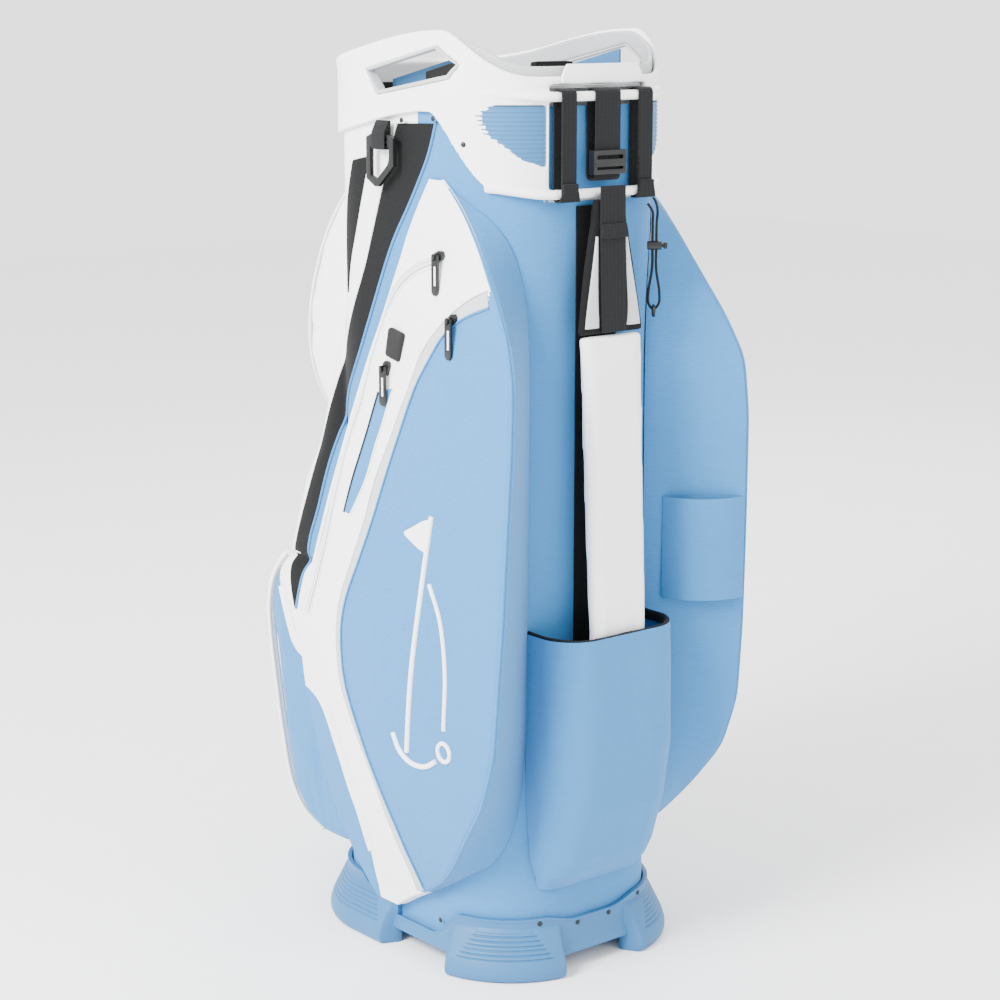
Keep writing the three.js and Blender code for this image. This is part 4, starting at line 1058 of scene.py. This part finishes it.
for name, first, last in (
    ("foot_rear_right", 76, 187),
    ("foot_front_right", -187, -8),
    ("foot_rear_left", 2 * QUARTER - 187, 2 * QUARTER - 76),
    ("foot_front_left", 2 * QUARTER + 8, 2 * QUARTER + 187),
):
    foot = sheet_of(name, 110, len(FOOT_PROFILE) - 1, foot_place(first, last), outward=False)
    only(foot)
    bpy.ops.object.mode_set(mode="EDIT")
    bpy.ops.mesh.select_all(action="SELECT")
    bpy.ops.mesh.fill_holes(sides=0)
    bpy.ops.mesh.select_all(action="SELECT")
    bpy.ops.mesh.normals_make_consistent(inside=False)
    bpy.ops.object.mode_set(mode="OBJECT")
    smooth(foot, 40)
    dress(foot, "bag", BLUE_PLASTIC)
print("feet have", GROOVES, "grooves each")

# %% [markdown]
# Rivets hold the collar and the base to the cloth: low black domes 5 mm across.

# %% Rivets
def nearest_run(x, y):
    runs = [i * QUARTER / 100 for i in range(400)]
    return min(runs, key=lambda run: math.dist(oval(run), (x, y)))


RIVETS = [
    (118, 10, 821, 5.6), (118, 56, 824, 5.6), (113, 93, 802, 5.6),
    (122, -33, 27, 6.4), (122, 61, 45, 5.2), (66, 147, 53, 5.4), (-20, 151, 45, 5.4),
]
bpy.ops.object.select_all(action="DESELECT")
for index, (x, y, z, grow) in enumerate(RIVETS):
    for side in (1, -1):
        run = nearest_run(x * side, y)
        place, outer = at(*oval(run, grow), z), at(*oval(run, grow + 10), z)
        turn = (outer - place).to_track_quat("Z", "Y").to_matrix().to_4x4()
        bpy.ops.object.select_all(action="DESELECT")
        bpy.ops.mesh.primitive_uv_sphere_add(segments=16, ring_count=8, radius=0.0026)
        rivet = bpy.context.object
        rivet.name = f"rivet_{index}_{'right' if side > 0 else 'left'}"
        rivet.data.transform(Matrix.Translation(place) @ turn @ Matrix.Scale(0.45, 4, (0, 0, 1)))
        dress(smooth(rivet, 60), "bag", BLACK_PLASTIC)

# %% [markdown]
# The strap's pouch is an open cloth pocket at the foot of the rear. Its wall is one cloth that
# bulges out from the tube, a little fuller in the middle, with soft folds from the strap's
# weight. A black binding folds over its mouth.

# %% Strap pouch
POUCH_LOW, POUCH_RIM = 88, 346
POUCH_SHAPE = [
    (88, 62, 158, 20), (120, 70, 174, 30), (170, 73, 190, 36), (225, 74, 197, 36), (300, 74, 197, 36),
    (346, 74, 196, 36),
]


def pouch_at(z):
    for low, high in zip(POUCH_SHAPE, POUCH_SHAPE[1:]):
        if z <= high[0] or high == POUCH_SHAPE[-1]:
            share = min(max((z - low[0]) / (high[0] - low[0]), 0), 1)
            return [mix(a, b, share) for a, b in zip(low[1:], high[1:])]


def pouch_plan(z, u, out=0.0):
    half, reach, corner = pouch_at(z)
    turn_from = STRAIGHT_Y + math.sqrt(max(CORNER ** 2 - (half - STRAIGHT_X) ** 2, 0)) + 0.6
    side_length = max(reach - corner - turn_from, 1)
    arc = corner * math.pi / 2
    whole = 2 * (side_length + arc + half - corner)
    run = min(u, 1 - u) * whole
    if run < side_length:
        x, y = half + out, turn_from + run
    elif run < side_length + arc:
        turn = (run - side_length) / corner
        x = half - corner + (corner + out) * math.cos(turn)
        y = reach - corner + (corner + out) * math.sin(turn)
    else:
        x, y = half - corner - (run - side_length - arc), reach + out
    return (x if u < 0.5 else -x), y


def pouch_place(u, v):
    z = mix(POUCH_LOW, POUCH_RIM - 2, v)
    broad, fine = Vector((u * 5, v * 2.2, 4.0)), Vector((u * 14, v * 5, 9.0))
    fold = 1.6 * noise.noise(broad) + 0.7 * noise.noise(fine)
    hold = ease(min(u, 1 - u), 0, 0.1) * ease(1 - v, 0, 0.12)
    x, y = pouch_plan(z, u, (fold + 1.2 * math.sin(math.pi * v)) * hold - 0.6)
    if v < 0.06:
        y -= max(outside(x, y) - 1.5, 0) * (1 - v / 0.06) * 0.7
    return at(x, y, z)


pouch = sheet_of("pouch_cloth", 150, 120, pouch_place, outward=False)
face_out(pouch)
modify(pouch, "SOLIDIFY", thickness=0.0022, offset=-1)
smooth(pouch, 50)
dress(pouch, "bag", BLUE_CLOTH)
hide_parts("strap_pouch")


def rim_place(u, v):
    fold = [(-3.0, 9.4), (-3.2, 4), (-2.9, 0.8), (-1.6, 0), (0.3, 0.4), (1.0, 3), (0.9, 9.6)]
    row = v * (len(fold) - 1)
    index = min(int(row + 1e-6), len(fold) - 2)
    (g0, d0), (g1, d1) = fold[index:index + 2]
    x, y = pouch_plan(POUCH_RIM, u, mix(g0, g1, row - index))
    dip = -1.5 * math.sin(math.pi * u) + 0.8 * noise.noise(Vector((u * 9, 2.0, 0.0)))
    return at(x, y, POUCH_RIM + 0.2 - mix(d0, d1, row - index) + dip)


binding = sheet_of("pouch_rim", 150, 18, rim_place, outward=False)
modify(binding, "SOLIDIFY", thickness=0.0009, offset=0)
smooth(tidy(binding), 50)
dress(binding, "bag", WEBBING)
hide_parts("pouch_binding")

# %% [markdown]
# Webbing is a flat band that follows a path in a plane of its own. `band` lays a grid along
# such a path and gives it thickness and soft edges.

# %% Flat bands
def band(name, path, half, thick, steps):
    line = [Vector(p) for p in path]

    def place(u, v):
        x, y, z = along(line, v)
        width = half(v) if callable(half) else half
        return at(x + mix(-1, 1, u) * width, y, z)

    piece = sheet_of(name, 8, steps, place, outward=False)
    face_out(piece)
    modify(piece, "SOLIDIFY", thickness=thick * MM, offset=0)
    rounding = thick * 0.3 * MM
    edges = math.radians(60)
    modify(piece, "BEVEL", width=rounding, segments=2, limit_method="ANGLE", angle_limit=edges)
    smooth(piece, 40)
    return dress(piece, "bag", WEBBING)


def ring_path(x, low, high, front, back, corner=4.0):
    points = []
    for centre_y, centre_z, start in (
        (back - corner, high - corner, 0),
        (front + corner, high - corner, 90),
        (front + corner, low + corner, 180),
        (back - corner, low + corner, 270),
    ):
        for step in range(7):
            turn = math.radians(start + step * 15)
            points.append((x, centre_y + corner * math.cos(turn), centre_z + corner * math.sin(turn)))
    return [*points, points[0]]


def even(path, count):
    line = [Vector(p) for p in path]
    lengths = [0]
    for a, b in zip(line, line[1:]):
        lengths.append(lengths[-1] + (b - a).length)
    result, span = [], 0
    for i in range(count):
        goal = lengths[-1] * i / (count - 1)
        while span < len(line) - 2 and lengths[span + 1] < goal:
            span += 1
        share = (goal - lengths[span]) / max(lengths[span + 1] - lengths[span], 1e-9)
        result.append(line[span].lerp(line[span + 1], share))
    return result


# %% Webbing round the rails
WEB = 1.7       # the webbing's thickness
LOOP_X = 47     # how far each loop stands from the middle
STRAP_HALF = 15.3
half = WEB / 2
for side, end_name in ((1, "right"), (-1, "left")):
    ring = ring_path(side * LOOP_X, 749.9 + half, 852.1 - half, 148.5 + half, 162.1 - half)
    loop_path = even(ring, 90)
    loop = band(f"loop_{end_name}", loop_path, 8.8, WEB, steps=89)
    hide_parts(f"webbing_loop_{end_name}")
    cuff = [(side * LOOP_X, y, z) for y, z in ((163.4, 767), (164.0, 758), (163.0, 753.2), (162.6, 750.5))]
    band(f"loop_fold_{end_name}", even(cuff, 12), lambda v: mix(9.2, 12.0, ease(v, 0.3, 1)), 2.2, steps=11)
strap_path = even(ring_path(0, 768 + half, 852.1 - half, 148.5 + half, 162.1 - half), 90)
strap = band("strap_band", strap_path, STRAP_HALF, WEB, steps=89)
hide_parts("strap_webbing")

# %% [markdown]
# Below its buckle the strap is a foam pad in black cloth, with a grey panel on each side of
# the webbing that is sewn down its middle. The pad gets wider downwards and goes into a white
# sleeve, whose tip is tucked in the pouch.

# %% Strap: pad, tail and sleeve
def pad_held(x, y, z):
    return z > 748 or z < 632


pad = soft_copy("pad_cloth", "strap_pad", pad_held, voxel=2.2, cap=1.5, depth=0.4, width=30, seed=21.0)
dress(pad, "bag", BLACK_CLOTH)
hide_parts("strap_pad")


def pad_half(z):
    return mix(40, 20, ease(z, 620, 745) * 0.5 + 0.5 * min(max((z - 627) / 125, 0), 1))


tail_path = even([(0, 169.4, 764), (0, 169.5, 728), (0, 170.6, 690), (0, 173.0, 629)], 40)
tail = band("strap_tail_band", tail_path, STRAP_HALF, 1.8, steps=39)
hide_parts("strap_tail")
hem_path = even([(0, 171.0, 729), (0, 172.2, 724), (0, 172.0, 719), (0, 171.8, 716)], 10)
band("strap_tail_fold", hem_path, lambda v: mix(15.6, 17.4, ease(v, 0.2, 1)), 2.4, steps=9)


def panel_place(side):
    def place(u, v):
        z = mix(634, 718, v)
        x = mix(17.5, pad_half(z) - 5.0, u)
        edge = 1 - min(u, 1 - u) * 2
        y = 163.2 + (728 - z) * 0.034 + 5.0 - 0.9 * edge ** 4
        return at(side * x, y, z)
    return place


for side, end_name in ((1, "right"), (-1, "left")):
    panel = sheet_of(f"pad_panel_{end_name}", 12, 40, panel_place(side), outward=False)
    face_out(panel, middle=False)
    modify(panel, "SOLIDIFY", thickness=0.0012, offset=0)
    dress(smooth(panel, 50), "bag", GREY_CLOTH)


def sleeve_held(x, y, z):
    return z > 618 or z < 260


sleeve = soft_copy(
    "sleeve_cloth", "strap_sleeve", sleeve_held, voxel=3.0, cap=2.0, depth=0.7, width=42, seed=27.0
)
dress(sleeve, "bag", WHITE_CLOTH)
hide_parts("strap_sleeve")

# %% [markdown]
# A black strip of cloth runs down the middle of the rear, behind the strap, and an elastic band
# is sewn to the rear side of the left pocket. Both are flat cloth that follows what is under it.

# %% Spine strip and elastic band
SPINE_LOW, SPINE_HIGH, SPINE_HALF = 150, 745, 25


def spine_place(u, v):
    z = mix(SPINE_LOW, SPINE_HIGH, v)
    ripple = 0.25 * noise.noise(Vector((u * 2, z / 60, 6.0)))
    crown = 0.3 * math.sin(math.pi * u)
    return at(mix(-SPINE_HALF, SPINE_HALF, u), HALF_Y + 1.1 + crown + ripple, z)


spine = sheet_of("spine_cloth", 20, 160, spine_place, outward=False)
face_out(spine, middle=False)
modify(spine, "SOLIDIFY", thickness=0.0012, offset=0)
dress(smooth(spine, 50), "bag", BLACK_CLOTH)
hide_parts("spine_strip")

BAND_LOW, BAND_HIGH, BAND_BOW = 356, 458, 15
band_rear = edge_at(rear_edge, BAND_HIGH)
band_from, band_to = Vector((-62, 126)), Vector((-band_rear.x, band_rear.y))
band_run = band_to - band_from
band_away = Vector((band_run.y, -band_run.x)).normalized()


def band_place(u, v):
    place = band_from + band_run * mix(0.3, 0.98, u)
    pull = 1 - 0.06 * math.sin(math.pi * v)
    place += band_away * (2.9 + BAND_BOW * 4 * u * (1 - u) * pull)
    return at(place.x, place.y, mix(BAND_LOW + 0.5, BAND_HIGH - 0.5, v))


elastic = sheet_of("elastic_cloth", 48, 60, band_place, outward=False)
face_out(elastic, middle=False)
modify(elastic, "SOLIDIFY", thickness=0.0016, offset=0)
dress(smooth(elastic, 50), "bag", BLUE_CLOTH)
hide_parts("elastic_band")
band_steps = [band_place(i / 40, 0.5) for i in range(41)]

# %% [markdown]
# The club wells are divided by stiff sheets with padded black edges. Each solid divider stays,
# in black cloth, and a soft roll of cloth is sewn over its top edge.

# %% Divider pads
PAD_LOW = 0.8225
for name, solid in NODES.items():
    if not name.startswith("well_"):
        continue
    solid.data.materials.clear()
    solid.data.materials.append(BLACK_CLOTH)
    roll = copy_of(f"{name}_roll", name)
    only(roll)
    bpy.ops.object.mode_set(mode="EDIT")
    bpy.ops.mesh.select_all(action="SELECT")
    bpy.ops.mesh.bisect(plane_co=(0, 0, PAD_LOW), plane_no=(0, 0, 1), use_fill=True, clear_inner=True)
    bpy.ops.object.mode_set(mode="OBJECT")
    modify(roll, "REMESH", mode="VOXEL", voxel_size=0.0022)
    modify(roll, "SMOOTH", factor=0.6, iterations=6)
    for vertex in roll.data.vertices:
        vertex.co += vertex.normal * 0.0009
    modify(roll, "SMOOTH", factor=0.5, iterations=2)
    dress(shade_soft(roll), "bag", BLACK_CLOTH)
print("dividers", len([name for name in NODES if name.startswith("well_")]))

# %% [markdown]
# Small hardware keeps its solid's shape: buckle, ring, zip sliders and pulls, cord lock, grip
# frames. Each is copied, given rounded edges with a bevel, and replaces its solid.

# %% Small hardware
def hardware(name, body, material, width):
    piece = copy_of(f"{name}_shape", name)
    modify(piece, "DECIMATE", decimate_type="DISSOLVE", angle_limit=math.radians(1))
    modify(
        piece,
        "BEVEL",
        width=width * MM,
        segments=3,
        limit_method="ANGLE",
        angle_limit=math.radians(30),
        use_clamp_overlap=True,
    )
    smooth(piece, 40)
    dress(piece, body, material)
    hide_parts(name)
    return piece


for side in ("right", "left"):
    hardware(f"grip_bezel_{side}", "bag", GREY_PLASTIC, 0.7)
    hardware(f"recess_pad_{side}", "bag", RUBBER, 1.2)
    hardware(f"grip_recess_{side}", "bag", BLUE_PLASTIC, 0.6)
hardware("rear_cover", "bag", WHITE_PLASTIC, 0.8)
hardware("handle_recess", "bag", GREY_PLASTIC, 0.5)
hardware("tri_glide", "tri_glide", BLACK_PLASTIC, 0.9)
hardware("towel_ring", "towel_ring", BLACK_PLASTIC, 1.3)
hardware("towel_loop", "bag", WEBBING, 0.5)
hardware("cord_lock", "cord_lock", BLACK_PLASTIC, 0.5)
hardware("cord_lock_button", "cord_lock_button", BLACK_PLASTIC, 0.5)
for name in ("yoke_zip", "main_zip", "quick_zip"):
    hardware(f"{name}_slider", f"{name}_slider", BLACK_PLASTIC, 0.8)
    hardware(f"{name}_tab", f"{name}_tab", BLACK_PLASTIC, 0.6)
    low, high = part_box(f"{name}_tab")
    bpy.ops.object.select_all(action="DESELECT")
    bpy.ops.mesh.primitive_cylinder_add(vertices=16, radius=0.0017, depth=high[2] - low[2] - 0.0185)
    inset = bpy.context.object
    inset.name = f"{name}_tab_inlay"
    inset.data.transform(
        Matrix.Translation([mix(a, b, share) for a, b, share in zip(low, high, (0.5, 0.5, 0.485))])
        @ Matrix.Diagonal((0.62, 1.0, 1.0, 1.0))
    )
    modify(inset, "BEVEL", width=0.0008, segments=3, limit_method="ANGLE", angle_limit=math.radians(50))
    dress(smooth(inset, 50), f"{name}_tab", BRIGHT_PLASTIC)
for name, material in (("cord_ring", BLACK_PLASTIC), ("spine_stay", GREY_PLASTIC)):
    NODES[name].data.materials.clear()
    NODES[name].data.materials.append(material)

# %% [markdown]
# Piping, zips and stripes lie on the cloth. A surface tree finds the cloth under each place by
# a ray from outside, so these pieces follow the swelling of the pockets exactly.

# %% Laying things on the cloth
def surface_of(pieces):
    points, faces = [], []
    for piece in pieces:
        start = len(points)
        points += [v.co.copy() for v in piece.data.vertices]
        faces += [[start + i for i in face.vertices] for face in piece.data.polygons]
    return BVHTree.FromPolygons(points, faces)


right_cloth = surface_of([right_pocket, tube, flare, ball])


def seen_from_right(y, z, lift=0.0):
    hit = right_cloth.ray_cast(at(300, y, z), Vector((-1, 0, 0)))[0]
    return (hit or at(HALF_X, y, z)) + Vector((lift * MM, 0, 0))


def on_both_sides(piece, name, material):
    dress(piece, "bag", material)
    dress(mirrored(piece, f"{name}_left"), "bag", material)
    return piece


def laid_line(points, lift, count=160):
    flat = curve_through([Vector((y, z, 0)) for y, z in points], count)
    return [seen_from_right(p.x, p.y, lift) for p in flat]


def piping(name, points, radius, material, lift=0.2, count=160):
    line = laid_line(points, lift, count)
    for _ in range(3):
        line = [line[0], *[(a + b * 2 + c) / 4 for a, b, c in zip(line, line[1:], line[2:])], line[-1]]
    return on_both_sides(tube_through(f"{name}_right", line, radius * MM), name, material)


def stripe(name, left, right, lift, thick, material, slot, across=14, steps=120):
    def edge(points):
        return curve_through([Vector((y, z, 0)) for y, z in points], steps + 1)

    first, second = edge(left), edge(right)

    def place(u, v):
        spot = along(first, v).lerp(along(second, v), u)
        return seen_from_right(spot.x, spot.y, lift)

    piece = sheet_of(f"{name}_right", across, steps, place, outward=False)
    face_out(piece, "x")
    modify(piece, "SMOOTH", factor=0.5, iterations=8)
    modify(piece, "SOLIDIFY", thickness=thick * MM, offset=0)
    return on_both_sides(smooth(piece, 50), name, material)


# %% [markdown]
# Two black stripes run down the white front. The long one starts under the collar's arch,
# follows the pocket's front edge down over the flare and ends in a point on the ball pocket.
# Light-blue piping runs along its rear edge and a white one along its front edge.

# %% Stripes
LONG_LEFT = [
    (-5, 819), (-16, 792), (-46, 712), (-60, 675), (-82, 633), (-111, 585), (-133, 540), (-154, 492),
    (-171, 448), (-188, 409), (-199, 380), (-204, 356), (-200, 338), (-186, 311),
]
LONG_RIGHT = [
    (55, 821), (43, 790), (16, 747), (-13, 705), (-52, 627), (-73, 585), (-99, 546), (-124, 497),
    (-143, 453), (-155, 420), (-170, 385), (-179, 347), (-183, 312),
]
stripe("long_stripe", LONG_LEFT, LONG_RIGHT, 0.7, 1.0, BLACK_CLOTH, "black_fabric")
SHORT_LEFT = [(-78, 780), (-87, 757), (-93, 740), (-97, 700), (-95, 648)]
SHORT_RIGHT = [(-48, 786), (-59, 752), (-72, 712), (-86, 677), (-94, 648)]
stripe("short_stripe", SHORT_LEFT, SHORT_RIGHT, 0.7, 1.0, BLACK_CLOTH, "black_fabric", steps=60)
piping("long_stripe_front", LONG_LEFT, 1.2, WHITE_CLOTH, lift=0.8)
piping("long_stripe_rear", LONG_RIGHT, 1.4, BLUE_CLOTH, lift=0.8)

# %% [markdown]
# The seams of the side pocket. A grey band joins the white yoke to the blue face, a double
# white welt closes the yoke in front, white piping runs up the front edge and blue piping
# along the rear edge.

# %% Bands and piping on the side pocket
stripe("yoke_band", BAND_UPPER, BAND_LOWER, 0.6, 0.9, GREY_CLOTH, "white_fabric", across=6, steps=200)
piping("yoke_band_edge", BAND_LOWER, 1.0, BLUE_CLOTH, lift=0.8, count=260)
piping("yoke_band_stitch", BAND_UPPER, 0.6, GREY_CLOTH, lift=0.7, count=260)


def beside(points, width):
    flat = [Vector(p) for p in points]
    moved = []
    for i, p in enumerate(flat):
        way = (flat[min(i + 1, len(flat) - 1)] - flat[max(i - 1, 0)]).normalized()
        moved.append((p.x - way.y * width, p.y + way.x * width))
    return moved


welt = FRONT_WELT[1:-1]
stripe("front_welt", welt, beside(welt, 8), 0.9, 1.0, WHITE_CLOTH, "white_fabric", across=5, steps=200)
piping("front_welt_low", beside(welt, -1), 1.3, WHITE_CLOTH, lift=0.9, count=300)
piping("front_welt_high", beside(welt, 9), 1.1, WHITE_CLOTH, lift=0.9, count=300)


def corner_piping(name, rows, low, high, shift, radius, material):
    line = [at(p.x + shift[0], p.y + shift[1], p.z) for p in rows if low < p.z < high]
    on_both_sides(tube_through(f"{name}_right", line, radius * MM), name, material)


corner_piping("front_edge", front_rows, 330, 762, (-5.0, 2.2), 1.9, WHITE_CLOTH)
corner_piping("rear_edge", rear_rows, 70, 762, (-0.6, -0.3), 1.5, BLUE_CLOTH)

# %% [markdown]
# Three zips close the side pocket. The first has a long curved track up the yoke's front, the
# second runs in the grey band, and the third is a quick-reach slot with a blue tape and a
# rubber hood over its upper end.

# %% Zip tracks, slot and hood
TRACK = [
    (66, 694), (47, 688), (26, 677), (10, 663), (-4, 646), (-15, 624), (-27, 590), (-36, 552), (-51, 520),
    (-72, 457), (-91, 389), (-113, 327),
]
track_edges = (beside(TRACK, 3), beside(TRACK, -3))
stripe("zip_track", *track_edges, 0.5, 0.8, GREY_CLOTH, "white_fabric", across=5, steps=200)
piping("zip_track_coil", TRACK, 0.9, WHITE_CLOTH, lift=0.9, count=300)
piping("zip_track_front", beside(TRACK, 5), 0.8, WHITE_CLOTH, lift=0.6, count=300)
piping("zip_track_rear", beside(TRACK, -5), 0.8, WHITE_CLOTH, lift=0.6, count=300)
SLOT_LEFT = [(-3, 565), (-22, 516), (-40, 474), (-52, 441)]
SLOT_RIGHT = [(23, 574), (-1, 519), (-19, 477), (-42, 439)]
stripe("slot_tape", SLOT_LEFT, SLOT_RIGHT, 0.4, 0.7, BLUE_CLOTH, "blue_fabric", across=6, steps=60)
piping("slot_edge_front", SLOT_LEFT, 1.1, CHARCOAL_CLOTH, lift=0.6, count=80)
piping("slot_edge_rear", SLOT_RIGHT, 0.9, WHITE_CLOTH, lift=0.6, count=80)
hood_at = seen_from_right(21, 613, 1.5)
bpy.ops.object.select_all(action="DESELECT")
bpy.ops.mesh.primitive_cube_add(size=1.0)
hood = bpy.context.object
hood.name = "zip_hood_right"
hood.data.transform(
    Matrix.Translation(hood_at)
    @ Matrix.Rotation(math.radians(-12), 4, "X")
    @ Matrix.Diagonal((0.0075, 0.0225, 0.029, 1.0))
)
modify(hood, "BEVEL", width=0.0035, segments=5, limit_method="ANGLE", angle_limit=math.radians(50))
on_both_sides(smooth(hood, 50), "zip_hood", RUBBER)

# %% [markdown]
# The ball pocket's front corners are bound with a broad white edge between two thin seams.

# %% Ball pocket edge
BALL_EDGE = [
    (68, 99, 186, 32), (84, 104, 215, 34), (110, 107, 233, 34), (165, 110, 245, 34), (215, 112, 252, 34),
    (275, 114, 259, 34), (305, 114, 260, 34), (330, 112, 256, 34), (350, 110, 244, 33), (361, 108, 234, 33),
]


def corner_line(levels, turn, out, count, surface=None):
    line = []
    across, forward = math.cos(math.radians(turn)), math.sin(math.radians(turn))
    for z, half, reach, corner in levels:
        centre = at(half - corner, corner - reach, z)
        spot = at(half - corner + (corner + out) * across, -(reach - corner + (corner + out) * forward), z)
        hit = surface.ray_cast(spot, (centre - spot).normalized())[0] if surface else None
        line.append(hit or spot)
    return curve_through(line, count)


for name, turn, radius, out, material in (
    ("ball_edge", 45, 4.4, 0.0, WHITE_CLOTH),
    ("ball_edge_seam", 34, 1.2, 0.4, GREY_CLOTH),
    ("ball_edge_inner", 57, 1.2, 0.4, GREY_CLOTH),
):
    line = corner_line(BALL_EDGE, turn, out, 120)
    on_both_sides(tube_through(f"{name}_right", line, radius * MM), name, material)

# %% [markdown]
# The cooler pocket has a zip round its lid and a seam round its front panel, both drawn as
# lines at one distance inside its outline.

# %% Cooler pocket seams
COOLER_EDGE = [
    (512, 72, 190, 26), (540, 76, 215, 30), (575, 78, 229, 32), (625, 78, 227, 32), (690, 76, 204, 30),
    (730, 70, 178, 24), (745, 63, 164, 14),
]
cooler_cloth = surface_of([cooler])
for name, turn, radius, material in (
    ("cooler_seam", 20, 1.5, GREY_CLOTH),
    ("cooler_zip", 38, 1.9, WHITE_CLOTH),
    ("cooler_zip_tape", 47, 1.1, GREY_CLOTH),
    ("cooler_front_seam", 72, 1.3, WHITE_CLOTH),
):
    line = corner_line(COOLER_EDGE, turn, 12, 90, cooler_cloth)
    on_both_sides(tube_through(f"{name}_right", line, radius * MM), name, material)

# %% [markdown]
# The embroidery is a plain golf motif: a flagstick with its pennant, the flight of a ball and
# the ball itself, in thick white thread on the blue face.

# %% Embroidery
def thread(name, points, radius, count=90):
    piping(name, points, radius, BRIGHT_THREAD, lift=0.5, count=count)


BRIGHT_THREAD = cloth("embroidery_thread_white", "#fbfbfb", "#f0f1f2", rib=1.1, rough=0.5, ribs=0.6)
thread("motif_stick", [(60, 226), (70, 300), (82, 376), (96, 462)], 2.8)
thread("motif_green", [(38, 240), (48, 224), (66, 216), (88, 218), (106, 228)], 2.6, count=50)
thread("motif_flight", [(120, 262), (122, 318), (113, 366), (96, 398)], 2.2, count=60)
ring = [(119 + 9 * math.cos(t * math.pi / 8), 240 + 9 * math.sin(t * math.pi / 8)) for t in range(17)]
thread("motif_ball", ring, 2.2, count=60)
PENNANT_TOP = [(96, 462), (84, 458), (70, 450), (52, 440)]
PENNANT_LOW = [(90, 424), (80, 426), (68, 431), (53, 438)]
pennant = (PENNANT_LOW, PENNANT_TOP)
stripe("motif_pennant", *pennant, 0.8, 1.2, BRIGHT_THREAD, "white_fabric", across=8, steps=20)
